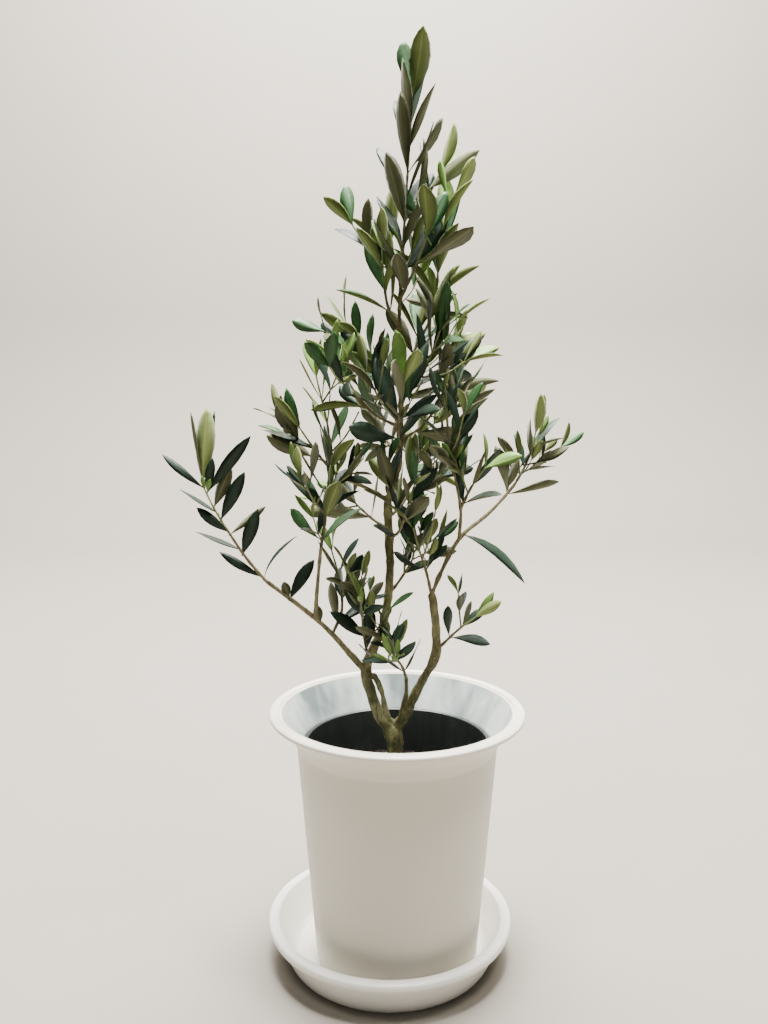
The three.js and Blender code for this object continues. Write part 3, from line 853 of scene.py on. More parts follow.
# Single leaves that stand out from the end of a bough: root, tip, share of the usual width, tint,
# form, and the way that the upper side faces.
CURVED = 6
TO_EYE = (-0.15, -1, 0)
TO_LIGHT = (0.2, -0.85, 0.45)
TO_FRONT = (0.1, -0.5, 0.8)
TO_BACK = (0.15, 0.9, 0.1)
UPWARDS = (0.1, -0.45, 0.85)
LONE_LEAVES = {
    "left_tip_shoot": (
        ((-122, -19, 329), (-149, -22, 351), 0.52, 0, 0, TO_EYE),
        ((-123, -20, 334), (-132, -22, 378), 0.3, 1, 4, (0.97, -0.2, 0.15)),
        ((-124, -19, 332), (-120, -22, 381), 1.15, 3, 4, TO_BACK),
        ((-122, -18, 334), (-113, -16, 378), 0.3, 1, 4, (-0.97, -0.2, 0.15)),
        ((-121, -20, 328), (-116.5, -24, 349), 1.1, 0, 0, TO_LIGHT),
        ((-121.5, -19, 326.5), (-93.5, -26, 363), 0.55, 0, 0, TO_LIGHT),
        ((-117.5, -18, 317), (-105.5, -22, 343.5), 1.2, 0, 4, TO_BACK),
        ((-122, -20, 329), (-124, -22, 338), 1.3, 3, 0, TO_EYE),
        ((-121, -20, 328), (-118.5, -23, 336), 1.3, 3, 0, TO_EYE),
        ((-113.5, -18, 308.5), (-97.5, -22, 340), 0.88, 0, 0, TO_LIGHT),
        ((-113.5, -18, 313), (-139, -19, 328), 0.7, 0, 4, UPWARDS),
        ((-108.5, -17, 299), (-85.5, -15, 318.5), 0.75, 0, 4, (0.5, 0.7, -0.4)),
        ((-108, -17, 301), (-128, -21, 317), 0.78, 0, 0, TO_EYE),
        ((-100.5, -15, 285.5), (-89.5, -19, 316), 1.0, 0, 0, TO_LIGHT),
        ((-99.5, -15, 289), (-130, -16, 300), 0.8, 0, 4, UPWARDS),
        ((-87, -13, 270.5), (-115, -17, 287.5), 0.6, 0, 0, TO_EYE),
        ((-87, -13, 270), (-80.5, -14, 300.3), 0.3, 1, CURVED, (-0.6, -0.35, 0.5)),
    ),
    "left_inner_shoot": (
        ((-71, -11, 257), (-74, -14, 268), 2.5, 0, 4, TO_BACK),
        ((-51, -8, 239), (-53, -12, 252), 1.8, 0, 4, TO_BACK),
        ((-71.3, -10, 254.5), (-56, -8, 282), 0.95, 0, 0, TO_FRONT),
    ),
    "right_cluster_shoot": (((42, 2, 297), (89, -6, 286), 0.7, 1, CURVED, (0, -0.45, 0.85)),),
}

# A shoot that stands clear of the crown, so that each of its leaves is seen alone and is placed.
ALL_PLACED = ("left_tip_shoot",)

# A leaf's age is 1 where its stem's leaves start and 0 at the stem's tip.
RULE_SEED = 1907
SEED_STEP = 101  # from one shoot to the next
SPACING = 15.5  # between pairs of leaves
OPEN_ANGLE = 54.0  # degrees between an old leaf and its stem
CLOSE_ANGLE = 24.0  # the same for a young one near the tip
STRAY_LEAN = 24.0  # how much that angle varies
STRAY_TURN = 0.7  # radians that a leaf may stray round its stem
FLAT_TURN = 60  # below this turn in degrees a spray is laid flat
ROLL = 1.3  # radians that a blade may roll about its length
LIFT = 0.4  # how much a leaf that leans out is turned up again
LEAF_LENGTHS = (0.86, 1.14)
LEAF_WIDTH = 0.34  # of its length
LEAF_WIDTHS = (0.88, 1.12)
BLADE_START, WIDEST = 0.16, 0.55  # parts of its length where a blade starts and is widest
PETIOLE = 0.5  # how far past the stem's middle a leaf is rooted
TIP_INSET = 0.8  # how far below the stem's end its last leaves are rooted
YOUNG_LEAF = 0.8  # length of the last leaves, as a part of the full length
FULL_GROWN = 0.4  # age at which a leaf has its full length
STEM_FOOT = 1.15  # radius of a shoot's stem where it starts
STEM_TIP = 0.55
TWIG_FOOT = 0.66  # radius of a side twig where it starts
TWIG_TIP = 0.5
TWIG_LENGTH = 30.0  # on a shoot whose leaves have the usual length
USUAL_LEAF = 36.0
TWIG_LENGTHS = (0.75, 1.25)
TWIG_ANGLE = 48.0  # degrees between a side twig and its shoot
TWIG_STRAY = 16.0
TWIG_BARE = 10.0
TWIG_TURN = 90  # degrees from one pair of leaves to the next
TWIG_PLACES = (0.35, 0.75)  # where in its own stretch of the shoot a twig grows
TWIG_TOP = 0.4  # stretch left free at the shoot's tip, in such stretches
TWIG_LEAF = 0.82  # length of a side twig's leaves, as a part of its shoot's
TWIG_REACH = 0.92  # where a twig ends along its first direction, as a part of its length
TWIG_RISE = 0.2  # how far it rises above that
REACH = 1.5  # how far from its stem a leaf may end, in leaf lengths


def random_from(seed):
    """Numbers in a repeatable order that looks random, from 0 to 1."""
    whole = 0xFFFFFFFF
    state = seed & whole

    def draw():
        nonlocal state
        state = (state + 0x6D2B79F5) & whole
        bits = ((state ^ (state >> 15)) * (state | 1)) & whole
        bits ^= (bits + (bits ^ (bits >> 7)) * (bits | 61)) & whole
        return (bits ^ (bits >> 14)) / (whole + 1)

    return draw


def around(draw, spread):
    return (draw() - 0.5) * spread


def within(draw, ends):
    return ends[0] + (ends[1] - ends[0]) * draw()


def between(table, value):
    """Looks a value up in rows of place and size, in a straight line between rows."""
    if value <= table[0][0]:
        return table[0][1]
    for (x0, y0), (x1, y1) in zip(table, table[1:]):
        if value <= x1:
            return y0 + (y1 - y0) * (value - x0) / (x1 - x0)
    return table[-1][1]


class Line:
    """A smooth line through points, with lengths along it and a frame that doesn't twist."""

    STEPS = 12
    NEARLY = 1e-5

    def __init__(self, points):
        points = [Vector(p) for p in points]
        ends = [2 * points[0] - points[1], *points, 2 * points[-1] - points[-2]]
        self.samples = []
        for i in range(len(points) - 1):
            self.samples += [self.curve(ends[i : i + 4], k / self.STEPS) for k in range(self.STEPS)]
        self.samples.append(points[-1])
        self.lengths = [0.0]
        for a, b in zip(self.samples, self.samples[1:]):
            self.lengths.append(self.lengths[-1] + (b - a).length)
        self.length = self.lengths[-1]
        last = len(self.samples) - 1
        self.tangents = [
            (self.samples[min(i + 1, last)] - self.samples[max(i - 1, 0)]).normalized()
            for i in range(last + 1)
        ]
        side = Vector((1, 0, 0))
        self.sides = []
        for tangent in self.tangents:
            side = (side - tangent * side.dot(tangent)).normalized()
            self.sides.append(side)

    @staticmethod
    def curve(four, t):
        """A point of the Catmull-Rom curve between the second and third of four points."""
        a, b, c, d = four
        v0, v1 = (c - a) / 2, (d - b) / 2
        return (
            (2 * b - 2 * c + v0 + v1) * t**3 + (3 * c - 3 * b - 2 * v0 - v1) * t**2 + v0 * t + b
        )

    def at(self, length):
        """The place, tangent and side of the line at a length from its start."""
        wanted = min(max(length, 0), self.length)
        i = 1
        while self.lengths[i] < wanted and i < len(self.lengths) - 1:
            i += 1
        part = (wanted - self.lengths[i - 1]) / (self.lengths[i] - self.lengths[i - 1])
        tangent = self.tangents[i - 1].lerp(self.tangents[i], part).normalized()
        side = self.sides[i - 1].lerp(self.sides[i], part)
        side = (side - tangent * side.dot(tangent)).normalized()
        return self.samples[i - 1].lerp(self.samples[i], part), tangent, side

    def length_at_height(self, z):
        """The length at which the line first reaches a height."""
        for sample, length in zip(self.samples, self.lengths):
            if sample.z >= z - self.NEARLY:
                return length
        return self.length


def grow_lines():
    """The middle lines of the trunk, boughs and shoots, by name."""
    lines = {"trunk": Line(TRUNK_POINTS)}
    grown = [(bough[:3], bough[4:]) for bough in BOUGHS]
    grown += [(shoot[:3], shoot[7:]) for shoot in SHOOTS]
    for (name, on, at), points in grown:
        parent = lines[on]
        start = parent.at(parent.length_at_height(at))[0]
        lines[name] = Line([start, *points])
    return lines


def limb_radii(lines):
    """For each woody limb, its radius at each length."""
    trunk = lines["trunk"]
    radii = {"trunk": lambda along: between(TRUNK_RADII, trunk.at(along)[0].z)}
    for name, _, _, steps, *_ in BOUGHS:
        radii[name] = taper(lines[name].length, steps)
    return radii


def taper(length, radii):
    """The radius at a length along a limb, from radii at even steps."""
    table = [(length * i / (len(radii) - 1), radius) for i, radius in enumerate(radii)]
    return lambda along: between(table, along)


def tube(line, radius_at, lengths, sides):
    """Vertices and side faces of a tube along a line, with a ring at each of the lengths."""
    vertices, faces = [], []
    for along in lengths:
        place, tangent, side = line.at(along)
        across = tangent.cross(side)
        for k in range(sides):
            angle = 2 * math.pi * k / sides
            out = side * math.cos(angle) + across * math.sin(angle)
            vertices.append(place + out * radius_at(along))
    for ring in range(len(lengths) - 1):
        for k in range(sides):
            a, b = ring * sides + k, ring * sides + (k + 1) % sides
            faces.append((a, b, b + sides, a + sides))
    return vertices, faces


class Leaf:
    """One leaf: its root, the way it points, its upper side, its size, its tint and its form. A
    leaf without a form gets one by lot."""

    def __init__(self, root, along, up, length, width, tint=0, form=None):
        self.root, self.along, self.up = root, along, up
        self.length, self.width = length, width
        self.tint, self.form = tint, form

    def point(self, part):
        return self.root + self.along * (self.length * part)

    def blade(self):
        """A flat outline for testing what the leaf meets."""
        across = self.along.cross(self.up) * (self.width / 2)
        middle = self.point(WIDEST)
        return [self.point(BLADE_START), middle + across, self.point(1), middle - across]


def placed_leaf(root, tip, share, tint, form, facing):
    """A leaf from its root to its tip, with its upper side turned to where it faces."""
    reach = Vector(tip) - Vector(root)
    along = reach.normalized()
    up = Vector(facing)
    up = (up - along * along.dot(up)).normalized()
    width = reach.length * LEAF_WIDTH * share
    return Leaf(Vector(root), along, up, reach.length, width, tint, form)


def leaning(tangent, side, turn, lean):
    """A direction that leans away from a tangent by an angle, towards a turn round it."""
    out = side * math.cos(turn) + tangent.cross(side) * math.sin(turn)
    return tangent * math.cos(lean) + out * math.sin(lean)


def leaf_pair(line, along, turn, age, leaf_length, draw):
    """Two opposite leaves at a length along a stem."""
    place, tangent, side = line.at(along)
    pair = []
    for half in (0, math.pi):
        strayed = turn + half + around(draw, STRAY_TURN)
        opened = CLOSE_ANGLE + (OPEN_ANGLE - CLOSE_ANGLE) * age
        lean = math.radians(opened + around(draw, STRAY_LEAN))
        grown = YOUNG_LEAF + (1 - YOUNG_LEAF) * min(1, age / FULL_GROWN)
        length = leaf_length * grown * within(draw, LEAF_LENGTHS)
        width = length * LEAF_WIDTH * within(draw, LEAF_WIDTHS)
        direction = leaning(tangent, side, strayed, lean)
        direction.z += LIFT * math.sin(lean)
        direction.normalize()
        up = (tangent - direction * tangent.dot(direction)).normalized()
        up.rotate(Matrix.Rotation(around(draw, ROLL), 3, direction))
        pair.append(Leaf(place - direction * PETIOLE, direction, up, length, width))
    return pair


def leaves_along(line, bare, leaf_length, turned_by, draw, spacing=SPACING):
    """The pairs of leaves along a stem and the pair that ends it."""
    pairs = []
    nodes = max(0, math.floor((line.length - bare) / spacing + 0.5))
    step = (line.length - bare) / nodes if nodes else 0
    flat = turned_by < FLAT_TURN
    turn = around(draw, STRAY_TURN) if flat else draw() * math.pi
    for node in range(nodes + 1):
        along = min(bare + node * step, line.length - TIP_INSET)
        age = 1 - node / nodes if nodes else 0
        pairs.append((along, age, leaf_pair(line, along, turn, age, leaf_length, draw)))
        turn += math.radians(turned_by)
    return pairs


def twig_line(place, direction, length):
    """The line of a side twig, which leaves its stem in a direction and turns upwards."""
    tip = place + direction * (length * TWIG_REACH) + Vector((0, 0, length * TWIG_RISE))
    return Line([place, place + direction * (length / 2), tip])


def side_twigs(line, leaf, bare, count, draw):
    """The side twigs of a shoot, each with its pairs of leaves."""
    twigs = []
    for i in range(count):
        part = (i + within(draw, TWIG_PLACES)) / (count + TWIG_TOP)
        place, tangent, side = line.at(bare + part * (line.length - bare))
        turn = draw() * 2 * math.pi
        lean = math.radians(TWIG_ANGLE + around(draw, TWIG_STRAY))
        length = TWIG_LENGTH * leaf / USUAL_LEAF * within(draw, TWIG_LENGTHS)
        twig = twig_line(place, leaning(tangent, side, turn, lean), length)
        twigs.append((twig, leaves_along(twig, TWIG_BARE, leaf * TWIG_LEAF, TWIG_TURN, draw)))
    return twigs


class Space:
    """What is already grown, for testing what a new leaf would meet."""

    def __init__(self):
        self.taken = []

    @staticmethod
    def ball(corners):
        """The middle of some corners, and the radius of a ball there that holds them."""
        centre = sum(corners, Vector()) / len(corners)
        return centre, max((corner - centre).length for corner in corners)

    def add(self, corners, faces):
        self.taken.append((*self.ball(corners), BVHTree.FromPolygons(corners, faces)))

    def meets(self, corners, faces):
        centre, radius = self.ball(corners)
        tree = None
        for other_centre, other_radius, other in self.taken:
            if (other_centre - centre).length > radius + other_radius:
                continue
            tree = tree or BVHTree.FromPolygons(corners, faces)
            if tree.overlap(other):
                return True
        return False


# What the rule adds here to the solid model's: tints for sprays and finer side shoots.
FINE_SEED_STEP = 37
# Height, and how many times the usual share of leaves has a finer shoot in its axil.
FINE_GROWTH = [(260, 1.8), (340, 1.3), (430, 0.6), (560, 0.3)]
SMALL_LEAF = 27  # shoots with shorter leaves have none
FINE_AGE = 0.2  # and so have leaves younger than this
FINE_LEAN = 0.5  # how far a finer shoot turns from its leaf to the stem
FINE_LENGTHS = (0.3, 0.55)  # of the stem's leaf length
FINE_BARE = 5
FINE_LEAF = 0.62
FINE_SPACING = 12.0
FINE_TAPER = 0.7
# How much of a shoot, a twig and a finer shoot is green, from its tip down.
SHOOT_GREEN, TWIG_GREEN, FINE_GREEN = 0.4, 0.8, 1.0
DARK_SHARE, GREY_SHARE = 0.45, 0.82  # of the sprays: dark, and dark or grey green
BUD_AGE, YOUNG_AGE = 0.12, 0.3  # ages below which a leaf is two tints or one tint fresher
BLADE_FACES = [(0, 1, 2), (0, 2, 3)]
POT_TOP = 181
POT_MOUTH = 70.0  # radius within which a leaf may hang below the pot's top
LIMB_PART = 40  # length of the parts that a limb is tested in
LIMB_SIDES = 6
LIMB_RINGS = 6


class Crown:
    """The stems and leaves of all the shoots, grown by the rule."""

    def __init__(self, settings):
        self.settings = settings
        self.lines = grow_lines()
        self.stems = []  # line, foot radius, tip radius, green part
        self.leaves = {}
        self.space = Space()
        for name, radius_at in limb_radii(self.lines).items():
            line = self.lines[name]
            parts = max(1, round(line.length / LIMB_PART))
            for part in range(parts):
                begin, end = part / parts, (part + 1) / parts
                shares = [begin + (end - begin) * i / LIMB_RINGS for i in range(LIMB_RINGS + 1)]
                lengths = [line.length * share for share in shares]
                self.space.add(*tube(line, radius_at, lengths, LIMB_SIDES))
        for number, shoot in enumerate(SHOOTS):
            self.grow(shoot, number)

    def grow(self, shoot, number):
        name, _, _, leaf, bare, twig_count, turned_by = shoot[:7]
        line = self.lines[name]
        reach = REACH * leaf
        draw = random_from(RULE_SEED + number * SEED_STEP)
        fine = random_from(self.settings.seed + number * FINE_SEED_STEP)
        own = []
        self.stems.append((line, STEM_FOOT, STEM_TIP, SHOOT_GREEN))
        pairs = leaves_along(line, bare, leaf, turned_by, draw)
        if name in ALL_PLACED:
            pairs = []
        self.keep(own, pairs, line, reach, self.spray_tint(fine))
        bearers = [(line, pairs, leaf)]
        for twig, twig_pairs in side_twigs(line, leaf, bare, twig_count, draw):
            self.stems.append((twig, TWIG_FOOT, TWIG_TIP, TWIG_GREEN))
            self.keep(own, twig_pairs, line, reach, self.spray_tint(fine))
            bearers.append((twig, twig_pairs, leaf * TWIG_LEAF))
        if leaf > SMALL_LEAF:
            for bearer in bearers:
                self.grow_finer(own, *bearer, line, reach, fine)
        for grown in own:
            self.space.add(grown.blade(), BLADE_FACES)
        self.leaves[name] = own + [placed_leaf(*row) for row in LONE_LEAVES.get(name, ())]

    def grow_finer(self, own, bearer, pairs, leaf, line, reach, draw):
        """Small side shoots in the axils of a stem's older leaves."""
        for along, age, pair in pairs:
            for older in pair:
                place, tangent, _ = bearer.at(along)
                share = self.settings.fine_growth * between(FINE_GROWTH, place.z)
                if age < FINE_AGE or draw() > share:
                    continue
                direction = (older.along + tangent * FINE_LEAN).normalized()
                twig = twig_line(place, direction, leaf * within(draw, FINE_LENGTHS))
                spray = leaves_along(
                    twig, FINE_BARE, leaf * FINE_LEAF, TWIG_TURN, draw, FINE_SPACING
                )
                if self.keep(own, spray, line, reach, self.spray_tint(draw)):
                    self.stems.append((twig, STEM_TIP, STEM_TIP * FINE_TAPER, FINE_GREEN))

    def spray_tint(self, draw):
        """The tint of a spray: mostly the two dark greens, now and then a fresh one."""
        value = draw()
        return 0 if value < DARK_SHARE else 1 if value < GREY_SHARE else 2

    def keep(self, own, pairs, line, reach, tint):
        """Keeps the leaves that fit, and says if there are any."""
        before = len(own)
        for _, age, pair in pairs:
            fresher = 2 if age < BUD_AGE else 1 if age < YOUNG_AGE else 0
            for leaf in pair:
                if self.fits(leaf, line, reach):
                    leaf.tint = min(tint + fresher, len(LEAF_TINTS) - 1)
                    own.append(leaf)
        return len(own) > before

    def fits(self, leaf, line, reach):
        """True if a leaf stays near its stem, off the pot and clear of what is grown."""
        for part in (0.5, 1):
            point = leaf.point(part)
            if all((sample - point).length >= reach for sample in line.samples):
                return False
            if point.z < POT_TOP and point.xy.length > POT_MOUTH:
                return False
        return not self.space.meets(leaf.blade(), BLADE_FACES)


# Trunk and boughs

# The bark's two patterns: the stretch of their noise along each axis, its size in metres, detail
# and roughness.
FINE_CRACKS = ((1, 1, 0.2), 0.0021, 3.0, 0.6)
SLOW_SWELLINGS = ((1, 1, 1), 0.01, 2.0, 0.5)
AXIS_RELIEF, BOUGH_RELIEF = 2.0, 0.6  # how strong they are on the trunk and far out on a bough


def relief_tree():
    """Pushes a surface in and out along its normals: slow swellings and fine upright cracks."""
    group = NodeGroup("Bark relief", {"Relief": "Float", "Knots": "Float", "Material": "Material"})
    given = group.given
    place = group.node("GeometryNodeInputPosition")
    depths = []
    for pattern, title in ((FINE_CRACKS, "Relief"), (SLOW_SWELLINGS, "Knots")):
        stretch, size, detail, roughness = pattern
        spread = group.node("ShaderNodeVectorMath", {0: place, 1: stretch}, operation="MULTIPLY")
        values = {"Vector": spread, "Scale": 1 / size, "Detail": detail, "Roughness": roughness}
        lumps = group.node("ShaderNodeTexNoise", values)
        centred = group.node("ShaderNodeMath", {0: lumps, 1: 0.5}, operation="SUBTRACT")
        values = {0: centred, 1: given[title]}
        depths.append(group.node("ShaderNodeMath", values, operation="MULTIPLY"))
    offset = group.node("ShaderNodeMath", {0: depths[0], 1: depths[1]}, operation="ADD")
    level = group.node("ShaderNodeVectorMath", {0: place, 1: (1, 1, 0)}, operation="MULTIPLY")
    outwards = group.node("ShaderNodeVectorMath", {0: level}, output=1, operation="LENGTH")
    fading = {0: outwards, 1: BOUGH_START, 2: BOUGH_END, 3: AXIS_RELIEF, 4: BOUGH_RELIEF}
    strength = group.node("ShaderNodeMapRange", fading)
    scaled = group.node("ShaderNodeMath", {0: offset, 1: strength}, operation="MULTIPLY")
    normal = group.node("GeometryNodeInputNormal")
    push = group.node("ShaderNodeVectorMath", {0: normal, "Scale": scaled}, operation="SCALE")
    moved = group.node("GeometryNodeSetPosition", {0: given["Geometry"], "Offset": push})
    group.end(group.node("GeometryNodeSetShadeSmooth", {0: moved}))
    return group


class OLIVE_OT_trunk_and_boughs(bpy.types.Operator):
    """Join the trunk and boughs into one limbed mesh and carve its bark"""

    bl_idname = "olive.trunk_and_boughs"
    bl_label = "Trunk and Boughs"

    SIDES = 16
    THICK_END = 1.7  # radius in millimetres from which a limb ends in a round knob
    ROUNDING = 0.9
    SOFTENING = (4, 0.5)  # how often the joined mesh is smoothed, and how much each time

    def execute(self, context):
        settings = context.scene.olive_tree.bark
        lines = grow_lines()
        radii = limb_radii(lines)
        vertices, faces = [], []
        for name, radius_at in radii.items():
            left = name.startswith("left_")
            share = settings.left_thickness if left else settings.thickness
            shell, shell_faces = self.limb(lines[name], radius_at, share)
            faces += [tuple(i + len(vertices) for i in face) for face in shell_faces]
            vertices += shell
        limbs = new_object("joined limbs", [v * MM for v in vertices], faces)
        remesh = limbs.modifiers.new("Join", "REMESH")
        remesh.mode = "VOXEL"
        remesh.voxel_size = settings.voxel
        soften = limbs.modifiers.new("Soften", "SMOOTH")
        soften.iterations, soften.factor = self.SOFTENING
        graph = context.evaluated_depsgraph_get()
        mesh = bpy.data.meshes.new_from_object(limbs.evaluated_get(graph))
        limbs.modifiers.clear()
        limbs.data = mesh
        barked = relief_tree().apply(
            limbs,
            "barked_trunk_and_boughs",
            Relief=settings.relief,
            Knots=settings.knots,
            Material=olive_bark(settings),
        )
        discard(limbs)
        dress(barked, None, "bark", *radii)
        return {"FINISHED"}

    def limb(self, line, radius_at, share):
        """The closed skin of one limb, with a ring for each millimetre. A thick limb ends in a
        round knob."""
        last = radius_at(line.length) * share

        def radius(along):
            beyond = max(0, 1 - (line.length - along) / last)
            full = radius_at(along) * share
            knob = full * math.sqrt(1 - self.ROUNDING * beyond**2)
            return full if last < self.THICK_END else knob

        rings = max(2, round(line.length))
        lengths = [line.length * ring / rings for ring in range(rings + 1)]
        vertices, faces = tube(line, radius, lengths, self.SIDES)
        foot, end = range(self.SIDES), range(rings * self.SIDES, (rings + 1) * self.SIDES)
        return vertices, faces + [tuple(reversed(foot)), tuple(end)]


# Stems

STEM_STEP = 2.0  # from one ring of a stem to the next
SHORTEST_PART = 0.5
STEM_SWELLS = ((0.12, 0.74, 2.1), (0.06, 1.9, 0))  # height, rate and start of each wave
OVERLAP = 0.01  # how far the green part reaches into the woody one, as a part of the stem


def stem_tree():
    """Draws a round stem along each chain of edges, as thick as its points say."""
    group = NodeGroup("Stems", {"Sides": "Int", "Material": "Material"})
    ring = {"Resolution": group.given["Sides"], "Radius": 1.0}
    thickness = {"Name": "thickness"}
    values = {
        "Curve": group.node("GeometryNodeMeshToCurve", {0: group.given["Geometry"]}),
        "Profile Curve": group.node("GeometryNodeCurvePrimitiveCircle", ring),
        "Scale": group.node("GeometryNodeInputNamedAttribute", thickness, data_type="FLOAT"),
        "Fill Caps": True,
    }
    stems = group.node("GeometryNodeCurveToMesh", values)
    group.end(group.node("GeometryNodeSetShadeSmooth", {0: stems}))
    return group


def stem_path(stems, share_from, share_to):
    """One mesh of edges along stems, from one share of each length to another."""
    vertices, edges, thickness = [], [], []
    for line, foot, tip, green in stems:
        begin, end = share_from(green) * line.length, share_to(green) * line.length
        if end - begin < SHORTEST_PART:
            continue
        count = max(2, round((end - begin) / STEM_STEP))
        for i in range(count + 1):
            along = begin + (end - begin) * i / count
            if i:
                edges.append((len(vertices) - 1, len(vertices)))
            vertices.append(line.at(along)[0] * MM)
            waves = sum(high * math.sin(along * rate + at) for high, rate, at in STEM_SWELLS)
            thickness.append((foot + (tip - foot) * along / line.length) * (1 + waves) * MM)
    path = new_object("stem path", vertices, [], edges)
    add_attribute(path, "thickness", "FLOAT", "POINT", thickness)
    return path


class OLIVE_OT_stems(bpy.types.Operator):
    """Draw the woody and the young parts of the shoots and twigs"""

    bl_idname = "olive.stems"
    bl_label = "Shoots and Twigs"

    def execute(self, context):
        settings = context.scene.olive_tree.foliage
        crown = Crown(settings)
        group = stem_tree()
        woody = shoot_bark("woody olive shoot", linear("#5A5138"), linear("#7C7252"), 0.75)
        green = shoot_bark("young olive shoot", linear("#6E7A48"), linear("#929B66"), 0.55)
        for name, coat, share_from, share_to in (
            ("woody_shoots", woody, lambda part: 0.0, lambda part: 1 - part),
            ("green_twigs", green, lambda part: max(0.0, 1 - OVERLAP - part), lambda part: 1.0),
        ):
            path = stem_path(crown.stems, share_from, share_to)
            made = group.apply(path, name, Sides=settings.stem_sides, Material=coat)
            discard(path)
            dress(made, None, "foliage", *crown.leaves)
        return {"FINISHED"}


# Leaves

# A leaf's outline: the share of its length and the half width there, as a part of the greatest.
LEAF_OUTLINE = [
    (0.0, 0.1), (0.07, 0.12), (0.18, 0.42), (0.33, 0.76), (0.5, 0.97), (0.65, 0.98), (0.8, 0.78),
    (0.92, 0.43), (1.0, 0.05),
]
RIB = 0.1  # half width of the midrib, as a part of the leaf's half width
# The height of the midrib over the margins where a leaf has no width, and what a full width adds
# to it, on the upper and the under side. Both are parts of the leaf's length.
RIB_HEIGHTS = ((0.0046, -0.0026), (-0.0077, -0.0143))
CUPPED = 0.3  # how far the margins of a leaf of full width and cup 1 stand up
ROW = 6  # vertices across a leaf
# Forms of leaf: how far its tip bends down, how far its margins bend up, and its twist. The last
# is the curved one, only for single leaves.
LEAF_FORMS = [
    (0.10, 0.10, 0.15),
    (-0.12, 0.16, -0.2),
    (0.2, 0.06, 0.3),
    (0.03, -0.1, -0.35),
    (-0.06, 0.05, 0.1),
    (0.14, 0.22, 0.0),
    (0.55, 0.02, 0.05),
]
LEAF_FULLNESS = (0.8, 1.2)  # of a leaf's width
# Tints: the upper side, the underside and the midrib below.
LEAF_TINTS = [
    ("dark", "#1B2D1F", "#51533A", "#606246"),
    ("grey green", "#2A3D2F", "#65684C", "#74775A"),
    ("fresh green", "#375C33", "#626F3C", "#76834C"),
    ("young", "#6C8B44", "#849256", "#97A467"),
]
UPPER, UNDER, RIBS = 0, 1, 2
# Skins, in that order: name, roughness, gloss, sheen and mottle.
SKINS = (
    ("upper side", 0.47, 0.42, 0.0, 0.16),
    ("underside", 0.72, 0.2, 0.08, 0.1),
    ("midrib", 0.6, 0.25, 0.0, 0.08),
)
# What each leaf carries for the tree that places and paints it.
LEAF_ATTRIBUTES = {
    "turn": "QUATERNION",
    "size": "FLOAT_VECTOR",
    "tint": "INT",
    "form": "INT",
    "skin": "INT",
}
# The title of the tree's input for the material of each tint's skins.
SKIN_TITLES = {
    (tint, skin): f"Tint {tint} skin {skin}"
    for tint in range(len(LEAF_TINTS))
    for skin in (UPPER, UNDER, RIBS)
}


def leaf_form(name, bend, cup, twist):
    """A thin closed leaf of unit length and width along +Y, with its upper side to +Z."""
    vertices, faces, skins = [], [], []
    for part, half_width in LEAF_OUTLINE:
        turn = Matrix.Rotation(twist * part, 3, "Y")
        margin = CUPPED * cup * half_width
        upper, under = [rib + full * half_width for rib, full in RIB_HEIGHTS]
        # The upper side from margin to margin, and then the midrib's two edges below.
        for x, height in (
            (-1, margin),
            (-RIB, margin * RIB + upper),
            (RIB, margin * RIB + upper),
            (1, margin),
            (-RIB, margin * RIB + under),
            (RIB, margin * RIB + under),
        ):
            bent = Vector((0, part, -bend * part**2))
            vertices.append(turn @ Vector((x * half_width / 2, 0, height)) + bent)
    for i in range(len(LEAF_OUTLINE) - 1):
        a, b = i * ROW, (i + 1) * ROW
        for ring, skin, middle in (((0, 1, 2, 3), UPPER, UPPER), ((3, 5, 4, 0), UNDER, RIBS)):
            for k in range(3):
                faces.append((a + ring[k], a + ring[k + 1], b + ring[k + 1], b + ring[k]))
                skins.append(middle if k == 1 else skin)
    tip = len(vertices) - ROW
    faces.append((0, 4, 5, 3, 2, 1))
    faces.append((tip, tip + 1, tip + 2, tip + 3, tip + 5, tip + 4))
    made = new_object(name, vertices, faces)
    made.data.shade_smooth()
    add_attribute(made, "skin", "INT", "FACE", skins + [UPPER, UPPER])
    return made


def leaf_tree():
    """Sets a leaf on each point and gives its skins the materials of its tint."""
    materials = dict.fromkeys(SKIN_TITLES.values(), "Material")
    group = NodeGroup("Leaves", {"Forms": "Collection", **materials})
    named = {
        name: group.node("GeometryNodeInputNamedAttribute", {"Name": name}, data_type=kind)
        for name, kind in LEAF_ATTRIBUTES.items()
    }
    forms = {"Collection": group.given["Forms"], "Separate Children": True, "Reset Children": True}
    placed = {
        "Points": group.given["Geometry"],
        "Instance": group.node("GeometryNodeCollectionInfo", forms),
        "Pick Instance": True,
        "Instance Index": named["form"],
        "Rotation": named["turn"],
        "Scale": named["size"],
    }
    leaves = group.node("GeometryNodeInstanceOnPoints", placed)
    leaves = group.node("GeometryNodeRealizeInstances", {0: leaves})
    for (tint, skin), title in SKIN_TITLES.items():
        chosen = [
            group.node(
                "FunctionNodeCompare", {2: value, 3: wanted}, data_type="INT", operation="EQUAL"
            )
            for value, wanted in ((named["tint"], tint), (named["skin"], skin))
        ]
        both = group.node("FunctionNodeBooleanMath", dict(enumerate(chosen)), operation="AND")
        coat = {0: leaves, "Selection": both, "Material": group.given[title]}
        leaves = group.node("GeometryNodeSetMaterial", coat)
    group.finish(leaves)
    return group


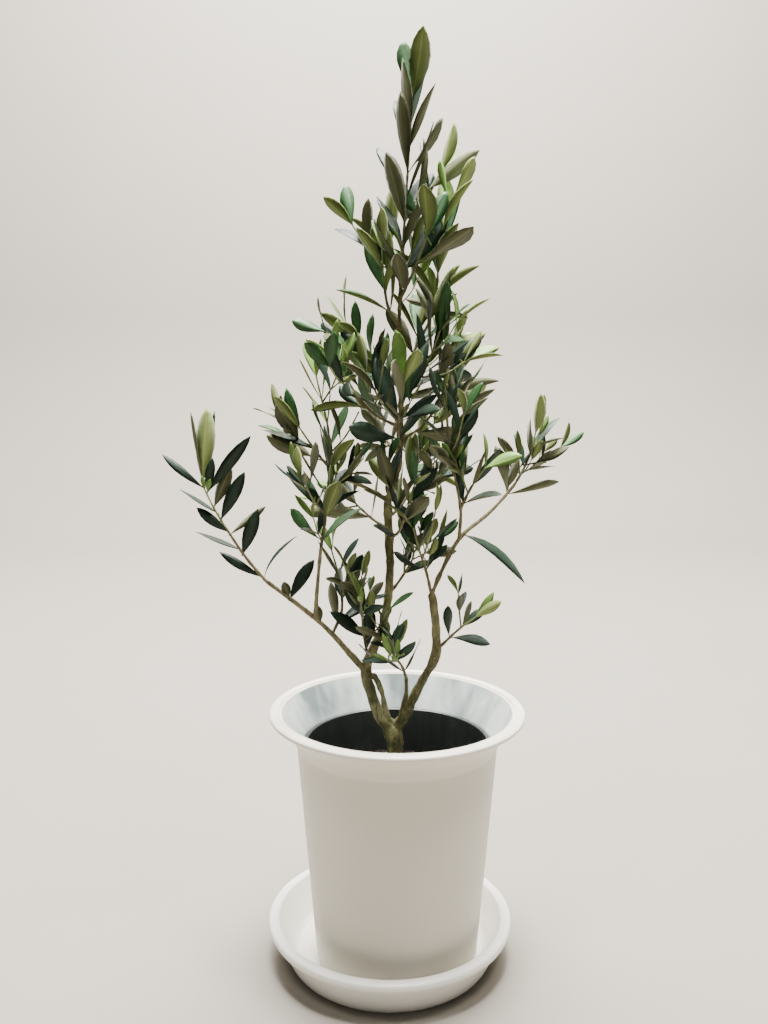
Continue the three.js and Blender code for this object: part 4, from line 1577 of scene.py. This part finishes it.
class OLIVE_OT_leaves(bpy.types.Operator):
    """Set a leaf at each place that the growth rule gives"""

    bl_idname = "olive.leaves"
    bl_label = "Leaves"

    REGIONS = (
        ("crown_leaves", ("trunk", "foot_bough")),
        ("right_limb_leaves", ("right_limb", "right_outer_bough", "right_upright_bough")),
        ("left_bough_leaves", ("left_low_bough", "left_upright_bough", "left_middle_bough")),
    )

    def execute(self, context):
        settings = context.scene.olive_tree.foliage
        crown = Crown(settings)
        forms = bpy.data.collections.new("Leaf forms")
        context.scene.collection.children.link(forms)
        for number, shape in enumerate(LEAF_FORMS):
            form = leaf_form(f"leaf form {number}", *shape)
            context.scene.collection.objects.unlink(form)
            forms.objects.link(form)
        materials = {}
        for (tint, skin), title in SKIN_TITLES.items():
            name, *colours = LEAF_TINTS[tint]
            side, *values = SKINS[skin]
            materials[title] = leaf_skin(f"{name} leaf {side}", linear(colours[skin]), *values)
        group = leaf_tree()
        parents = {shoot[0]: shoot[1] for shoot in SHOOTS}
        for name, limbs in self.REGIONS:
            masses = [mass for mass in crown.leaves if parents[mass] in limbs]
            points = self.points([leaf for mass in masses for leaf in crown.leaves[mass]], settings)
            made = group.apply(points, name, Forms=forms, **materials)
            discard(points)
            dress(made, None, "foliage", *masses)
        for form in list(forms.objects):
            discard(form)
        bpy.data.collections.remove(forms)
        return {"FINISHED"}

    def points(self, leaves, settings):
        """One point for each leaf, with what the tree needs to set it."""
        points = new_object("leaf points", [leaf.root * MM for leaf in leaves], [])
        turns, sizes, tints, forms = [], [], [], []
        draw = random_from(settings.seed)
        for leaf in leaves:
            across = leaf.along.cross(leaf.up)
            turns += list(Matrix((across, leaf.along, leaf.up)).transposed().to_quaternion())
            width = leaf.width * settings.narrowing * within(draw, LEAF_FULLNESS)
            sizes += [width * MM, leaf.length * MM, leaf.length * MM]
            tints.append(leaf.tint)
            drawn = int(draw() * CURVED)
            forms.append(drawn if leaf.form is None else leaf.form)
        values = {"turn": turns, "size": sizes, "tint": tints, "form": forms}
        for name, listed in values.items():
            key = "vector" if name == "size" else "value"
            add_attribute(points, name, LEAF_ATTRIBUTES[name], "POINT", listed, key)
        return points


# Stage

def matt_floor(colour):
    """Matt painted studio floor: pale, even and without gloss, with a very faint roller mottle."""
    mottle = (200 * MM, 3.0, 0.55, EVEN)
    colours = [(0.3, shade(colour, 0.97)), (0.7, colour)]
    return Finish("matt studio paint", (mottle, colours), Roughness=0.85).material


class OLIVE_OT_stage(bpy.types.Operator):
    """Set up the pale cove, the soft lights and the camera"""

    bl_idname = "olive.stage"
    bl_label = "Stage"

    # Each light: its name, place, aim, size, power in watts and colour.
    LIGHTS = (
        ("left softbox", (-0.6, -0.7, 2.2), (0.0, 0.0, 0.3), 0.35, 14, "#FFFAF2"),
        ("right softbox", (0.7, -0.5, 2.2), (0.0, 0.0, 0.3), 0.35, 26, "#FFFAF2"),
        ("top softbox", (0.08, -0.12, 2.2), (0.0, 0.0, 0.3), 0.45, 126, "#FFFDFA"),
        ("cove wash", (0.0, 0.7, 2.5), (0.0, 2.2, 0.7), 1.6, 520, "#FFFDFA"),
    )
    SKY = ((*linear("#F2F3F5"), 1.0), 0.14)  # colour and strength
    SENSOR = 36.0

    def execute(self, context):
        settings = context.scene.olive_tree.stage
        cove = self.cove()
        cove.data.materials.append(matt_floor(settings.floor))
        for name, place, aim, size, power, colour in self.LIGHTS:
            light = bpy.data.lights.new(name, "AREA")
            light.shape = "DISK"
            light.size = size
            light.energy = power
            light.color = linear(colour)
            lamp = bpy.data.objects.new(name, light)
            lamp.location = place
            away = Vector(aim) - Vector(place)
            lamp.rotation_euler = away.to_track_quat("-Z", "Y").to_euler()
            context.scene.collection.objects.link(lamp)
        world = bpy.data.worlds.new("studio")
        context.scene.world = world
        world.use_nodes = True
        sky = world.node_tree.nodes["Background"]
        sky.inputs["Color"].default_value, sky.inputs["Strength"].default_value = self.SKY
        view = bpy.data.cameras.new("front view")
        view.lens = settings.lens
        view.sensor_width = self.SENSOR
        camera = bpy.data.objects.new("front view", view)
        camera.location = settings.camera_place
        camera.rotation_euler = (math.pi / 2 - settings.camera_tilt, 0, 0)
        context.scene.collection.objects.link(camera)
        context.scene.camera = camera
        return {"FINISHED"}

    def cove(self):
        """A floor that curves up into a wall behind the plant."""
        half_width, front, back, bend, top = 3.0, -2.2, 1.6, 0.6, 2.8
        steps = 12
        side = [(front, 0.0), (back, 0.0)]
        for step in range(1, steps + 1):
            angle = math.pi / 2 * step / steps
            side.append((back + bend * math.sin(angle), bend - bend * math.cos(angle)))
        side.append((back + bend, top))
        vertices = [(x, y, z) for y, z in side for x in (-half_width, half_width)]
        faces = [(i, i + 1, i + 3, i + 2) for i in range(0, len(vertices) - 2, 2)]
        made = new_object("studio cove", vertices, faces)
        smooth(made)
        return made


# Panel and registration

OPERATORS = (
    OLIVE_OT_saucer,
    OLIVE_OT_cover_pot,
    OLIVE_OT_nursery_pot,
    OLIVE_OT_potting_soil,
    OLIVE_OT_trunk_and_boughs,
    OLIVE_OT_stems,
    OLIVE_OT_leaves,
    OLIVE_OT_stage,
)


class OLIVE_PT_panel(bpy.types.Panel):
    """Lists the settings and the pieces of the potted olive tree"""

    bl_idname = "OLIVE_PT_panel"
    bl_label = "Potted Olive Tree"
    bl_space_type = "VIEW_3D"
    bl_region_type = "UI"
    bl_category = "Olive Tree"

    def draw(self, context):
        settings = context.scene.olive_tree
        for name in ("pots", "soil", "bark", "foliage", "stage"):
            group = getattr(settings, name)
            box = self.layout.box()
            for key in group.__annotations__:
                box.prop(group, key)
        for operator in OPERATORS:
            self.layout.operator(operator.bl_idname)


CLASSES = (
    PotSettings,
    SoilSettings,
    BarkSettings,
    FoliageSettings,
    StageSettings,
    OliveSettings,
    *OPERATORS,
    OLIVE_PT_panel,
)


def register():
    for cls in CLASSES:
        bpy.utils.register_class(cls)
    bpy.types.Scene.olive_tree = PointerProperty(type=OliveSettings)


def unregister():
    del bpy.types.Scene.olive_tree
    for cls in reversed(CLASSES):
        bpy.utils.unregister_class(cls)


def main():
    register()
    for operator in OPERATORS:
        prefix, name = operator.bl_idname.split(".")
        getattr(getattr(bpy.ops, prefix), name)()
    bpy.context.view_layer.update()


if __name__ == "__main__":
    main()
